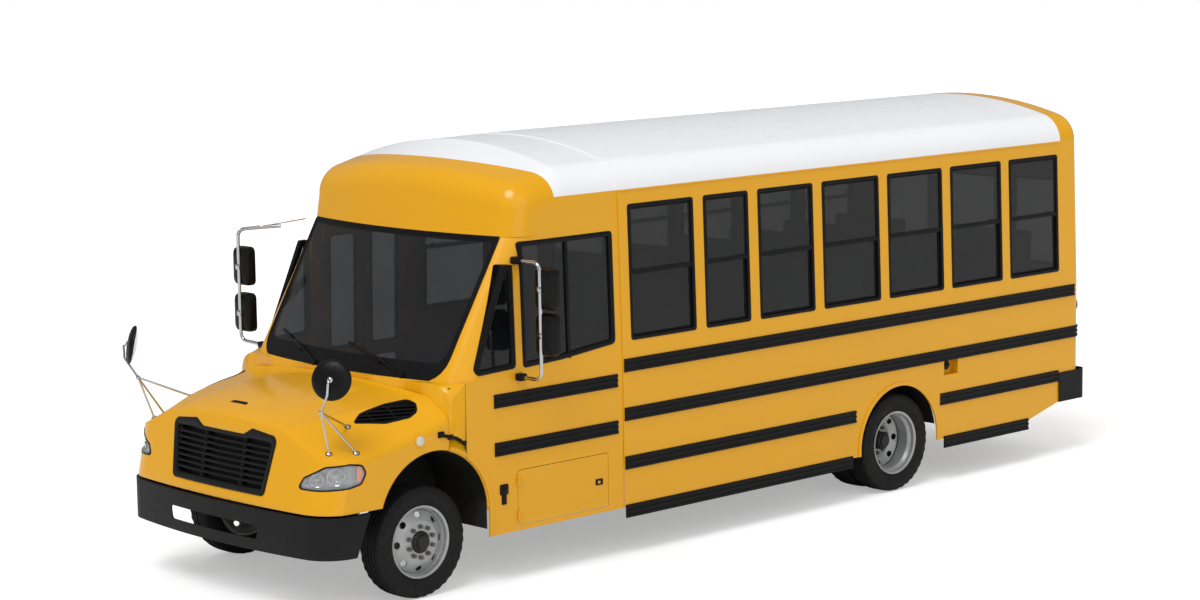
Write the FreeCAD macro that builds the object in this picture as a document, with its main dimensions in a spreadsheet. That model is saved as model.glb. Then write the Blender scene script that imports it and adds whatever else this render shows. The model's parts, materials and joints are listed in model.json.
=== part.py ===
"""A conventional school bus: a tilting hood, a four-wheel chassis and a seven-window passenger body.

Lengths are millimetres. The drawing's origin lies on the ground below the front axle: +X is the bus's left
side, +Y its rear and +Z up. Every sub-part is then placed origin_y forward, so that the part's own origin is
on the ground at the middle of its overall length.
"""
import FreeCAD, Part
import math
import os

from FreeCAD import Vector

doc = FreeCAD.newDocument("SchoolBus")
sheet = doc.addObject("Spreadsheet::Sheet", "Sizes")

# name, value or formula, meaning
SIZES = (
    ("front_y", -1000, "foremost point of the front bumper"),
    ("rear_y", 7560, "rearmost point of the rear bumper"),
    ("origin_y", "=(front_y + rear_y) / 2", "from the front axle back to the part's origin"),
    # body shell
    ("half_width", 1219, "body side below the window sill"),
    ("gutter_half", 1180, "body side at the gutter"),
    ("gutter_z", 2748, "gutter"),
    ("sill_z", 1505, "where the wall starts to lean in, and the windshield's base"),
    ("shoulder_radius", 240, "roof shoulder"),
    ("roof_z", 3110, "roof crown"),
    ("skirt_z", 366, "lower edge of the skirt"),
    ("wall", 40, "body wall, skin to lining"),
    ("skirt_sheet", 6, "skirt sheet below the floor"),
    ("body_rear_y", 7490, "rear wall's outer face"),
    ("rear_corner", 110, "rounding round the rear wall"),
    ("cab_rear_y", 1897, "joint between cab and passenger body"),
    ("cab_step", 8, "how far the cab's side lies inside the body's"),
    ("roof_cap_y", 7215, "where the rear cap meets the roof"),
    # cab front
    ("screen_top_z", 2486, "windshield's top"),
    ("screen_base_y", 148, "windshield's base at the middle"),
    ("screen_top_y", 716, "windshield's top at the middle"),
    ("screen_bow", 120, "forward bow of the windshield"),
    ("screen_half", 1052, "half width of the windshield"),
    ("screen_sheet", 8, "windshield glass"),
    ("screen_corner", 150, "windshield's lower corners"),
    ("pillar_corner", 220, "rounding of the cab's front corners"),
    ("cap_lean", 112, "backward lean of the front cap over its height"),
    ("cap_front_y", 600, "foremost drawing plane of the front cap"),
    ("cap_rear_y", 1350, "where the cap's slope reaches the full roof"),
    ("cap_front_gutter", 2560, "shoulder height at the cap's front plane"),
    ("cap_front_top", 2875, "crown height at the cap's front plane"),
    ("cap_side_y", 1272, "cap and roof joint at the gutter"),
    ("cap_mid_y", 1020, "cap and roof joint at the crown"),
    ("cowl_mid_y", 120, "cowl's front face at the middle"),
    ("cowl_rear_y", 354, "joint between the cowl and the cab's side"),
    # floor
    ("floor_z", 940, "top of the floor"),
    ("floor_depth", 60, "floor panel"),
    ("sill_depth", 80, "cross sills under the floor"),
    # wheels
    ("rear_axle_y", 5050, "wheelbase"),
    ("tyre_radius", 405, "tyre's rolling radius"),
    ("tyre_half", 113, "half of the tyre's section width"),
    ("rim_radius", 247.5, "bead seat"),
    ("flange_radius", 260.4, "rim flange"),
    ("rim_half", 97, "half of the rim's overall width"),
    ("rim_sheet", 6, "rim barrel"),
    ("disc_sheet", 12, "wheel disc"),
    ("hub_radius", 78, "hub in the middle of the disc"),
    ("hub_reach", 36, "hub's end beyond the disc"),
    ("front_track_half", 1015, "front wheel's middle plane"),
    ("dual_half", 941, "middle plane of a rear pair"),
    ("dual_gap", 260, "spacing of the two wheels of a pair"),
    ("hand_holes", 8, "holes in each wheel disc"),
    ("wheel_nuts", 10, "nuts on each wheel"),
    ("nut_circle", 112, "radius of the nuts' circle"),
    ("spindle_radius", 30, "wheel spindle"),
    ("bearing_gap", 0.4, "running gap at pins and spindles"),
    # wheel arches
    ("front_arch_y", 58, "front arch's middle"),
    ("front_arch_z", 566, "front arch's middle height"),
    ("front_arch_radius", 498, "front arch"),
    ("rear_arch_ahead", 12, "how far the rear arch's middle lies ahead of its axle"),
    ("rear_arch_z", 409, "rear arch's middle height"),
    ("rear_arch_radius", 479, "rear arch"),
    ("arch_lip", 30, "width of an arch's lip"),
    ("lip_proud", 10, "how far an arch's lip stands out"),
    ("liner_x", 640, "inner side of the wheel housings"),
    ("liner_sheet", 6, "wheel housings"),
    # frame
    ("rail_half", 432, "outer face of a frame rail"),
    ("rail_flange", 76, "frame rail flange"),
    ("rail_bottom_z", 560, "frame rail's lower face"),
    ("rail_height", 240, "frame rail"),
    ("rail_sheet", 8, "frame rail"),
    ("rail_front_y", -860, "frame rails' front end"),
    ("rail_rear_y", 7300, "frame rails' rear end"),
    ("cross_depth", 90, "frame cross members"),
    ("cross_width", 60, "frame cross members"),
    # hood
    ("hood_front_y", -965, "foremost point of the hood at its lower edge"),
    ("hood_bottom_z", 725, "hood's lower edge"),
    ("hood_lean", 0.2, "backward lean of the hood's front, per unit of height"),
    ("hood_bow", 45, "forward bow of the hood's front"),
    ("hood_bow_half", 900, "half width over which the bow is measured"),
    ("hood_corner", 300, "rounding of the hood's front corners"),
    ("hood_half", 1211, "half width of the hood at its rear"),
    ("hood_sheet", 10, "hood moulding"),
    ("hood_gap", 7, "seam between the hood and the cowl"),
    ("hood_pivot_y", -915, "hood hinge"),
    ("hood_pivot_z", 750, "hood hinge"),
    ("hood_pin", 8, "radius of the hood's hinge pin"),
    # grille
    ("grille_top_half", 608, "half width of the grille's top"),
    ("grille_foot_half", 540, "half width of the grille's foot"),
    ("grille_top_z", 1211, "grille's top corners"),
    ("grille_foot_z", 795, "grille's foot"),
    ("grille_rim", 26, "grille's surround"),
    ("grille_bars", 7, "horizontal bars"),
    ("grille_bar_depth", 15, "height of a bar"),
    ("grille_proud", 10, "how far the surround stands out"),
    ("grille_inset", 26, "how far the grille reaches in"),
    # bumpers
    ("bumper_top_z", 709, "front bumper"),
    ("bumper_foot_z", 414, "front bumper"),
    ("bumper_half", 1200, "front bumper"),
    ("bumper_corner", 260, "front bumper"),
    ("bumper_end_y", -516, "front bumper's ends at the top"),
    ("bumper_end_rake", 128, "how far its ends run forward to the foot"),
    ("bumper_sheet", 10, "front bumper"),
    ("bumper_flange", 35, "front bumper's return flanges"),
    ("slot_half", 500, "opening in the front bumper"),
    ("rear_bumper_top_z", 731, "rear bumper"),
    ("rear_bumper_foot_z", 472, "rear bumper"),
    ("rear_bumper_half", 1233, "rear bumper"),
    ("rear_bumper_y", 7165, "front end of the rear bumper's sides"),
    ("rear_bumper_sheet", 8, "rear bumper"),
    ("hitch_bolt_x", 250, "hole for a hitch bolt in the rear bumper"),
    ("hitch_bolt_z", 600, "hole for a hitch bolt in the rear bumper"),
    ("hitch_bolt_radius", 9, "hole for a hitch bolt in the rear bumper"),
    # rub rails
    ("rail_pitch", 368, "spacing of the body's rub rails"),
    ("rub_top_z", 1440, "middle of the top rub rail"),
    ("rub_height", 100, "rub rail"),
    ("rub_proud", 13, "rub rail's ribs"),
    # windows
    ("window_top_z", 2637, "passenger windows' top"),
    ("window_foot_z", 1621, "passenger windows' foot"),
    ("window_rim", 34, "window frame"),
    ("window_gap", 107, "post between two windows"),
    ("window_first_y", 1988, "front of the first window"),
    ("glass_sheet", 6, "side glass"),
    # doors
    ("entry_front_y", 960, "entry door's opening"),
    ("entry_rear_y", 1800, "entry door's opening"),
    ("entry_top_z", 2420, "entry door's opening"),
    ("entry_foot_z", 430, "entry door's opening"),
    ("door_gap", 8, "gap round a door"),
    ("leaf_gap", 19, "gap where the entry door's leaves meet"),
    ("rear_door_half", 380, "rear door's opening"),
    ("rear_door_top_z", 2480, "rear door's opening"),
    ("rear_door_foot_z", 950, "rear door's opening"),
    ("door_sheet", 34, "door"),
    # steering
    ("kingpin_x", 875, "kingpin's axis"),
    ("kingpin_radius", 20, "kingpin"),
    ("steer_arm", 180, "steering arm's length behind the axle"),
    ("tie_rod_z", 278, "tie rod"),
    ("tie_rod_radius", 16, "tie rod"),
    # seats
    ("seat_rows", 7, "rows of passenger seats"),
    ("seat_pitch", 700, "spacing of the rows"),
    ("seat_first_y", 2650, "back of the first row"),
    ("seat_width", 950, "bench"),
    ("seat_top_z", 2010, "top of the seat backs"),
    ("fit_gap", 0.3, "between a pane or frame and its opening"),
    ("hinge_radius", 9, "knuckle of a door hinge"),
    ("hinge_pin", 4, "pin of a door hinge"),
    ("hinge_leaf", 40, "width of a hinge's leaf"),
    ("hinge_height", 80, "height of a door hinge"),
    ("mirror_reach", 1560, "outer face of the side mirrors"),
)

for row, (name, value, meaning) in enumerate(SIZES, start=1):
    sheet.set("A%d" % row, name)
    sheet.set("B%d" % row, str(value))
    sheet.set("C%d" % row, meaning)
    sheet.setAlias("B%d" % row, name)
doc.recompute()


class Sizes:
    """The sheet's cells, read by their names."""

    def __getattr__(self, name):
        return float(sheet.get(name))


S = Sizes()
nodes = []


# ---------------------------------------------------------------- drawing helpers

AXES = {"side": Vector(1, 0, 0), "front": Vector(0, 1, 0), "plan": Vector(0, 0, 1)}
SIDE_OUT, REARWARD = AXES["side"], AXES["front"]


def at(view, a, b, depth=0.0):
    """A drawing's point in space: a side view shows (y, z), a front view (x, z) and a plan (x, y)."""
    if view == "side":
        return Vector(depth, a, b)
    if view == "front":
        return Vector(a, depth, b)
    return Vector(a, b, depth)


def outline(view, points, depth=0.0):
    """A face with straight sides and rounded corners; each point is (a, b) or (a, b, corner radius)."""
    corners = [at(view, p[0], p[1], depth) for p in points]
    radii = [p[2] if len(p) > 2 else 0.0 for p in points]
    count = len(corners)
    starts, ends, middles = [], [], []
    for i, corner in enumerate(corners):
        back = (corners[i - 1] - corner).normalize()
        ahead = (corners[(i + 1) % count] - corner).normalize()
        half = back.getAngle(ahead) / 2
        reach = radii[i] / math.tan(half)
        starts.append(corner + back * reach)
        ends.append(corner + ahead * reach)
        inward = (back + ahead).normalize() if radii[i] else Vector()
        middles.append(corner + inward * (radii[i] / math.sin(half) - radii[i]))
    edges = []
    for i in range(count):
        if radii[i]:
            edges.append(Part.Arc(starts[i], middles[i], ends[i]).toShape())
        following = starts[(i + 1) % count]
        if (following - ends[i]).Length > 1e-6:
            edges.append(Part.makeLine(ends[i], following))
    return Part.Face(Part.Wire(edges))


def slab(view, points, start, end):
    """A drawing's outline carried from one depth to another."""
    return outline(view, points, start).extrude(AXES[view] * (end - start))


def block(x, y, z):
    """A box from three (low, high) pairs."""
    return Part.makeBox(x[1] - x[0], y[1] - y[0], z[1] - z[0], Vector(x[0], y[0], z[0]))


def rod(start, end, radius):
    """A round bar between two points."""
    run = end - start
    return Part.makeCylinder(radius, run.Length, start, run)


def bent_tube(points, bend, radius):
    """A round tube along straight runs, with an arc of the given radius at each turn."""
    edges = []
    here = points[0]
    for before, corner, after in zip(points, points[1:], points[2:]):
        back = (before - corner).normalize()
        ahead = (after - corner).normalize()
        half = back.getAngle(ahead) / 2
        reach = bend / math.tan(half)
        middle = corner + (back + ahead).normalize() * (bend / math.sin(half) - bend)
        edges.append(Part.makeLine(here, corner + back * reach))
        edges.append(Part.Arc(corner + back * reach, middle, corner + ahead * reach).toShape())
        here = corner + ahead * reach
    edges.append(Part.makeLine(here, points[-1]))
    profile = Part.Wire(Part.makeCircle(radius, points[0], points[1] - points[0]))
    return Part.Wire(edges).makePipeShell([profile], True, False)


def turned(points, centre):
    """A solid of revolution about the X axis through a centre; the points are (x, radius)."""
    face = outline("front", points)
    solid = face.revolve(Vector(0, 0, 0), Vector(1, 0, 0), 360)
    solid.translate(centre)
    return solid


def fused(shapes):
    """One solid from pieces that touch."""
    return shapes[0].multiFuse(shapes[1:]).removeSplitter()


def mirrored(shape):
    """The same piece on the bus's other side."""
    return shape.mirror(Vector(0, 0, 0), Vector(1, 0, 0))


def both_sides(shapes):
    """A node of pieces on the left and their mirror images."""
    return Part.makeCompound(list(shapes) + [mirrored(shape) for shape in shapes])


def feature(label, shape):
    """A sub-part whose shape is made with Part's functions."""
    item = doc.addObject("Part::Feature", label)
    item.Label = label
    item.Shape = shape
    item.setExpression(".Placement.Base.y", "-Sizes.origin_y")
    nodes.append(item)
    return item


def primitive(kind, label, sizes, place):
    """A Part primitive whose sizes and place are bound to the sheet."""
    item = doc.addObject("Part::" + kind, label)
    item.Label = label
    for name, formula in sizes.items():
        item.setExpression(name, formula)
    for axis, formula in zip("xyz", place):
        item.setExpression(".Placement.Base." + axis, formula)
    return item


def operation(kind, label, shapes):
    """A boolean of the document's objects, kept as a sub-part."""
    item = doc.addObject("Part::" + kind, label)
    item.Label = label
    if kind == "MultiFuse":
        item.Shapes = shapes
    else:
        item.Base, item.Tool = shapes
    item.setExpression(".Placement.Base.y", "-Sizes.origin_y")
    nodes.append(item)
    return item


def hinge(place, to_frame, outward):
    """A butt hinge on a vertical pin: the frame's leaf with its pin, and the door's leaf.

    place is the pin's middle on the skin's plane, to_frame points from the pin to the frame along the skin,
    and outward points out of the skin.
    """
    up = Vector(0, 0, 1)
    half = S.hinge_height / 2
    axis = place + outward * (S.hinge_radius + 0.5)

    def leaf(direction, low, high):
        corner = place + up * low
        face = Part.Face(Part.makePolygon([corner, corner + direction * S.hinge_leaf,
                                           corner + direction * S.hinge_leaf + outward * 3, corner + outward * 3,
                                           corner]))
        return face.extrude(up * (high - low))

    def knuckle(low, high):
        return Part.makeCylinder(S.hinge_radius, high - low, axis + up * low, up)

    pin = Part.makeCylinder(S.hinge_pin, 2 * half, axis - up * half, up)
    third = half / 3
    on_frame = [leaf(to_frame, -half, -third - 0.5), leaf(to_frame, third + 0.5, half),
                knuckle(-half, -third - 0.5), knuckle(third + 0.5, half), pin]
    on_door = [leaf(to_frame * -1, -third, third), knuckle(-third, third)]
    bore = Part.makeCylinder(S.hinge_pin + S.fit_gap, 4 * half, axis - up * 2 * half, up)
    door = on_door[0].fuse(on_door[1]).cut(bore)
    return on_frame, door


# ---------------------------------------------------------------- body shell

FAR = 4000.0


def wall_x(z, inset=0.0):
    """The half width of the body's wall at a height."""
    lean = (S.half_width - S.gutter_half) / (S.gutter_z - S.sill_z)
    return S.half_width - inset - max(0.0, z - S.sill_z) * lean


def body_section(y, inset, foot_z, gutter_z, top_z):
    """The body's upper outline: leaning walls, shoulder arcs and a crown arc, all tangent."""
    lean = math.atan2(S.half_width - S.gutter_half, S.gutter_z - S.sill_z)
    cos, sin = math.cos(lean), math.sin(lean)
    radius = S.shoulder_radius - inset
    centre_x = S.half_width - (gutter_z - S.sill_z) * math.tan(lean) - S.shoulder_radius * cos
    centre_z = gutter_z - S.shoulder_radius * sin
    drop = top_z - centre_z
    crown = (centre_x ** 2 + drop ** 2 - S.shoulder_radius ** 2) / (2 * (drop - S.shoulder_radius))
    joint = Vector(centre_x, 0, centre_z - top_z + crown).normalize()
    bisector = Vector(cos + joint.x, 0, sin + joint.z).normalize()
    foot = Vector(S.half_width - inset / cos - (foot_z - S.sill_z) * math.tan(lean), y, foot_z)
    gutter = Vector(centre_x + radius * cos, y, centre_z + radius * sin)
    shoulder = Vector(centre_x + radius * bisector.x, y, centre_z + radius * bisector.z)
    meet = Vector((crown - inset) * joint.x, y, top_z - crown + (crown - inset) * joint.z)

    def across(point):
        return Vector(-point.x, point.y, point.z)

    edges = [
        Part.makeLine(across(foot), foot),
        Part.makeLine(foot, gutter),
        Part.Arc(gutter, shoulder, meet).toShape(),
        Part.Arc(meet, Vector(0, y, top_z - inset), across(meet)).toShape(),
        Part.Arc(across(meet), across(shoulder), across(gutter)).toShape(),
        Part.makeLine(across(gutter), across(foot)),
    ]
    return Part.Wire(edges)


def bowed_face(middle_y, bow, bow_half, half, rear_y, z):
    """A plan area whose front edge is an arc that bows forward."""
    radius = (bow_half ** 2 + bow ** 2) / (2 * bow)
    side_y = middle_y + radius - math.sqrt(radius ** 2 - half ** 2)
    left, right = Vector(half, side_y, z), Vector(-half, side_y, z)
    edges = [
        Part.Arc(right, Vector(0, middle_y, z), left).toShape(),
        Part.makeLine(left, Vector(half, rear_y, z)),
        Part.makeLine(Vector(half, rear_y, z), Vector(-half, rear_y, z)),
        Part.makeLine(Vector(-half, rear_y, z), right),
    ]
    return Part.Face(Part.Wire(edges))


def screen_side(middle_y, foot_z, rise_y, rise_z, inset):
    """The space behind a surface that bows like the windshield and leans back."""
    shift = inset * math.hypot(rise_y, rise_z) / rise_z
    face = bowed_face(middle_y + shift, S.screen_bow, 1040.0, 1400.0, FAR, foot_z)
    return face.extrude(Vector(0, rise_y, rise_z))


def passenger_solid(inset):
    """The passenger body's outer or inner form behind the cab, skirt to roof."""
    start, end = S.cab_rear_y, S.body_rear_y - inset
    upper = body_section(start, inset, S.sill_z, S.gutter_z, S.roof_z)
    foot = upper.Edges[0]
    corners = [vertex.Point for vertex in foot.Vertexes]
    skirt = [Vector(corner.x, start, S.skirt_z) for corner in corners]
    lower = [Part.makeLine(corners[0], skirt[0]), Part.makeLine(skirt[0], skirt[1]),
             Part.makeLine(skirt[1], corners[1])]
    section = Part.Wire(Part.__sortEdges__(upper.Edges[1:] + lower))
    form = Part.Face(section).extrude(Vector(0, end - start, 0))
    rim = [
        edge for edge in form.Edges
        if all(abs(v.Y - end) < 1e-4 for v in edge.Vertexes)
        and not all(abs(v.Z - S.skirt_z) < 1e-4 for v in edge.Vertexes)
    ]
    return form.makeFillet(S.rear_corner - inset, rim)


def cab_solid(inset):
    """The cab's outer or inner form: windshield zone, front cap and the lower part behind the cowl."""
    depth = inset + S.cab_step
    top_z = S.screen_top_z
    rise_y, rise_z = S.screen_top_y - S.screen_base_y, top_z - S.sill_z
    sections = [body_section(y, depth, S.sill_z, S.gutter_z, S.roof_z) for y in (-200.0, S.cab_rear_y)]
    zone = Part.makeLoft(sections, True, True).common(
        screen_side(S.screen_base_y, S.sill_z, rise_y, rise_z, inset))
    pillars = [
        edge for edge in zone.Edges
        if abs(edge.BoundBox.ZLength - rise_z) < 1 and edge.BoundBox.YMax < S.cab_rear_y - 5
    ]
    zone = zone.makeFillet(S.pillar_corner - inset, pillars)
    zone = zone.common(block((-FAR, FAR), (-FAR, FAR), (S.sill_z, top_z)))

    cap_height = S.roof_z - top_z
    front = body_section(S.cap_front_y, depth, top_z, S.cap_front_gutter, S.cap_front_top)
    back = body_section(S.cap_rear_y, depth, top_z, S.gutter_z, S.roof_z)
    cap = Part.makeLoft([front, back], True, True).common(
        screen_side(S.screen_top_y, top_z, S.cap_lean, cap_height + 100, inset))
    rim = [
        edge for edge in cap.Edges
        if edge.BoundBox.YMax < S.cap_rear_y - 5 and edge.BoundBox.ZMax > top_z + 5
    ]
    cap = cap.makeFillet(S.pillar_corner - inset, rim)
    rear = Part.Face(back).extrude(Vector(0, S.cab_rear_y - S.cap_rear_y, 0))

    side = S.half_width - depth
    lower = bowed_face(S.cowl_mid_y + inset, 80.0, 1211.0, side, S.cab_rear_y, S.skirt_z)
    lower = lower.extrude(Vector(0, 0, S.sill_z - S.skirt_z))
    return zone, cap, rear, lower


def arch(middle_y, middle_z, radius, x):
    """The room of a wheel arch, open below, between two places across the bus."""
    cylinder = rod(Vector(x[0], middle_y, middle_z), Vector(x[1], middle_y, middle_z), radius)
    below = block(x, (middle_y - radius, middle_y + radius), (-100.0, middle_z))
    return cylinder.fuse(below)


def front_arch(radius, x):
    return arch(S.front_arch_y, S.front_arch_z, radius, x)


def rear_arch(radius, x):
    return arch(S.rear_axle_y - S.rear_arch_ahead, S.rear_arch_z, radius, x)


def above(z, y=(-FAR, 9000.0)):
    return block((-FAR, FAR), y, (z, FAR))


LEFT = block((0.0, FAR), (-FAR, 9000.0), (-FAR, FAR))
RIGHT = block((-FAR, 0.0), (-FAR, 9000.0), (-FAR, FAR))

# passenger windows: length of each, front to rear
WINDOW_LENGTHS = (694, 496, 634, 684, 690, 669, 671)


def window_spans():
    """The front and rear of each passenger window's opening."""
    spans = []
    here = S.window_first_y
    for length in WINDOW_LENGTHS:
        spans.append((here, here + length))
        here += length + S.window_gap
    return spans


def window_outlines():
    """The side view outlines of the passenger windows."""
    low, high = S.window_foot_z, S.window_top_z
    return [[(a, low, 25), (b, low, 25), (b, high, 25), (a, high, 25)] for a, b in window_spans()]


DRIVER_WINDOW = [(906, 1545, 30), (1280, 1562, 60), (1830, 1618, 40), (1830, 2455, 30), (906, 2455, 30)]
QUARTER_WINDOW = [(428, 1537, 45), (838, 1553, 35), (838, 2301, 25), (752, 2301, 20)]
REAR_WINDOWS = [[(470, 1621, 40), (1010, 1621, 40), (1000, 2400, 60), (470, 2400, 40)]]


def ring(points, depth_low, depth_high, margin):
    """A frame round an outline in a side view, and the area that it leaves open."""
    drawn = outline("side", points, depth_low).OuterWire
    face = Part.Face(drawn.makeOffset2D(-S.fit_gap))
    inner = Part.Face(drawn.makeOffset2D(-margin))
    run = Vector(depth_high - depth_low, 0, 0)
    return face.extrude(run).cut(inner.extrude(run)), inner.extrude(run)


body_outer = passenger_solid(0.0)
body_inner = passenger_solid(S.wall)
cab_outer = cab_solid(0.0)
cab_inner = cab_solid(S.wall)

body_shell = body_outer.cut(body_inner)
skirt_room = block(
    (-S.half_width + S.skirt_sheet, S.half_width - S.skirt_sheet),
    (0.0, S.body_rear_y - S.wall), (S.skirt_z - 10, S.floor_z - S.floor_depth))

skirt_taper = slab("side", [(6742, 300), (6742, S.skirt_z), (S.rear_bumper_y, S.rear_bumper_foot_z),
                            (8000, S.rear_bumper_foot_z), (8000, 300)], -FAR, FAR)
corner_y = S.body_rear_y - S.rear_corner
side_zone = block((-FAR, FAR), (S.cab_rear_y, corner_y), (-FAR, S.gutter_z))
rear_low_zone = block((-FAR, FAR), (corner_y, 9000.0), (-FAR, S.gutter_z))
side_shell = body_shell.common(side_zone).cut(skirt_room).cut(skirt_taper)
side_shell = side_shell.cut(rear_arch(S.rear_arch_radius, (-FAR, FAR)))
for points in window_outlines():
    side_shell = side_shell.cut(slab("side", points, -FAR, FAR))


def arch_lip(x, rear):
    """The flange that stands out round a wheel arch."""
    make = rear_arch if rear else front_arch
    radius = S.rear_arch_radius if rear else S.front_arch_radius
    return make(radius + S.arch_lip, x).cut(make(radius, x))


rear_lip = arch_lip((S.half_width - S.skirt_sheet, S.half_width + S.lip_proud), True)
rear_lip = rear_lip.common(above(S.skirt_z))

FILLER_Y, FILLER_Z = (5612.0, 5794.0), (900.0, 1062.0)
filler_hole = block((S.half_width - 70, FAR), FILLER_Y, FILLER_Z)
filler_pocket = block((S.half_width - 76, S.half_width - 1), (FILLER_Y[0] - 6, FILLER_Y[1] + 6),
                      (FILLER_Z[0] - 6, FILLER_Z[1] + 6)).cut(filler_hole)
filler_cap = rod(Vector(S.half_width - 72, FILLER_Y[0] + 62, 980), Vector(S.half_width - 26, FILLER_Y[0] + 62, 980), 42)

left_wall = side_shell.common(LEFT).fuse(rear_lip).cut(filler_hole)
feature("left_wall", left_wall.fuse(filler_pocket).fuse(filler_cap).removeSplitter())
feature("right_wall", side_shell.common(RIGHT).fuse(mirrored(rear_lip)).removeSplitter())

# roof, with the front cap's curved edge cut away and the rear cap left to the rear wall
cap_room = bowed_face(S.cap_mid_y, S.cap_side_y - S.cap_mid_y, S.gutter_half, 1300.0, FAR, S.gutter_z)
cap_room = cap_room.extrude(Vector(0, 0, 600))
cab_roof = cab_outer[1].fuse(cab_outer[2]).cut(cab_inner[1].fuse(cab_inner[2]))
front_roof = cab_roof.common(cap_room)
main_roof = body_shell.common(above(S.gutter_z, (S.cab_rear_y, S.roof_cap_y)))
feature("roof", front_roof.fuse(main_roof).removeSplitter())

# rear wall, with the door's opening, its windows and the rounded cap above
rear_shell = body_shell.common(rear_low_zone).fuse(body_shell.common(above(S.gutter_z, (S.roof_cap_y, 9000.0))))
rear_shell = rear_shell.cut(skirt_taper)
rear_shell = rear_shell.cut(block((-1100, 1100), (7000, 9000), (-FAR, S.rear_bumper_top_z + 9)))
door_hole = slab("front", [(-S.rear_door_half, S.rear_door_foot_z, 30), (S.rear_door_half, S.rear_door_foot_z, 30),
                           (S.rear_door_half, S.rear_door_top_z, 60), (-S.rear_door_half, S.rear_door_top_z, 60)],
                 7000, 9000)
rear_shell = rear_shell.cut(door_hole)
for points in REAR_WINDOWS:
    hole = slab("front", points, 7000, 9000)
    rear_shell = rear_shell.cut(hole).cut(mirrored(hole))
rear_door_hinges = [hinge(Vector(-S.rear_door_half + S.door_gap / 2, S.body_rear_y, z), SIDE_OUT * -1, REARWARD)
                    for z in (1100, 1560, 2320)]
rear_wall_parts = [rear_shell]
for on_frame, on_door in rear_door_hinges:
    rear_wall_parts += on_frame
feature("rear_wall", fused(rear_wall_parts))

# front cap: everything above the windshield and the cab's windows
feature("front_cap", cab_roof.cut(cap_room).removeSplitter())

# cab sides
zone_shell = cab_outer[0].cut(cab_inner[0])


def screen_outline(gap, corner):
    """The windshield's opening in a front view, drawn in by a gap, with rounded or plain lower corners."""
    foot, top = S.screen_half - 10 - gap, S.screen_half - gap
    low, high = S.sill_z + gap, S.screen_top_z + 30
    return [(-foot, low, corner), (foot, low, corner), (top, high), (-top, high)]


screen_rise = (S.screen_top_y - S.screen_base_y, S.screen_top_z - S.sill_z)


def screen_layer(thickness):
    """A layer of the given thickness under the windshield's bowed surface."""
    surface = screen_side(S.screen_base_y, S.sill_z, *screen_rise, 0.0)
    return surface.cut(screen_side(S.screen_base_y, S.sill_z, *screen_rise, thickness))


screen_depth = (0.0, S.screen_top_y + 260)
plain_area = slab("front", screen_outline(0.0, 0.0), *screen_depth)
round_area = slab("front", screen_outline(0.0, S.screen_corner), *screen_depth)
gusset_room = block((S.screen_half - 200, FAR), (0.0, FAR), (S.sill_z, S.sill_z + 200))
gusset = plain_area.cut(round_area).common(gusset_room).common(screen_layer(S.wall))
zone_shell = zone_shell.cut(plain_area).fuse([gusset, mirrored(gusset)])
low_cab = cab_outer[3].cut(cab_inner[3])
cab_skirt_room = block(
    (-S.half_width + S.cab_step + S.skirt_sheet, S.half_width - S.cab_step - S.skirt_sheet),
    (S.cowl_rear_y, S.cab_rear_y + 1), (S.skirt_z - 10, S.floor_z - S.floor_depth))
cab_side = zone_shell.fuse(low_cab.common(block((-FAR, FAR), (S.cowl_rear_y, FAR), (-FAR, S.sill_z))))
cab_side = cab_side.cut(cab_skirt_room).cut(front_arch(S.front_arch_radius, (-FAR, FAR)))
cab_side = cab_side.cut(slab("side", QUARTER_WINDOW, -FAR, FAR))
cab_side_x = S.half_width - S.cab_step
front_lip = arch_lip((cab_side_x - S.skirt_sheet, cab_side_x + S.lip_proud), False)
cab_lip = front_lip.common(block((0, FAR), (S.cowl_rear_y, FAR), (S.skirt_z, FAR)))

ACCESS = [(832, 404, 20), (1738, 404, 20), (1738, 810, 20), (832, 810, 20)]
cab_left = cab_side.common(LEFT).cut(slab("side", DRIVER_WINDOW, 0, FAR)).cut(slab("side", ACCESS, 0, FAR))
access_hinges = [hinge(Vector(cab_side_x, ACCESS[0][0] + S.door_gap / 4, z), REARWARD * -1, SIDE_OUT)
                 for z in (480, 735)]
cab_left_parts = [cab_left, cab_lip]
for on_frame, on_door in access_hinges:
    cab_left_parts += on_frame
feature("cab_left", fused(cab_left_parts))
ENTRY = [(S.entry_front_y, S.entry_foot_z - 200), (S.entry_rear_y, S.entry_foot_z - 200),
         (S.entry_rear_y, S.entry_top_z, 40), (S.entry_front_y, S.entry_top_z, 40)]
cab_right = cab_side.common(RIGHT).cut(slab("side", ENTRY, -FAR, 0))
ENTRY_HINGE_Z = (560, 980, 1400)
front_hinges = [hinge(Vector(-cab_side_x, S.entry_front_y + S.door_gap / 2, z), REARWARD * -1, SIDE_OUT * -1)
                for z in ENTRY_HINGE_Z]
rear_hinges = [hinge(Vector(-cab_side_x, S.entry_rear_y - S.door_gap / 2, z), REARWARD, SIDE_OUT * -1)
               for z in ENTRY_HINGE_Z]
cab_right_parts = [cab_right, mirrored(cab_lip)]
for on_frame, on_door in front_hinges + rear_hinges:
    cab_right_parts += on_frame
feature("cab_right", fused(cab_right_parts))

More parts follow.
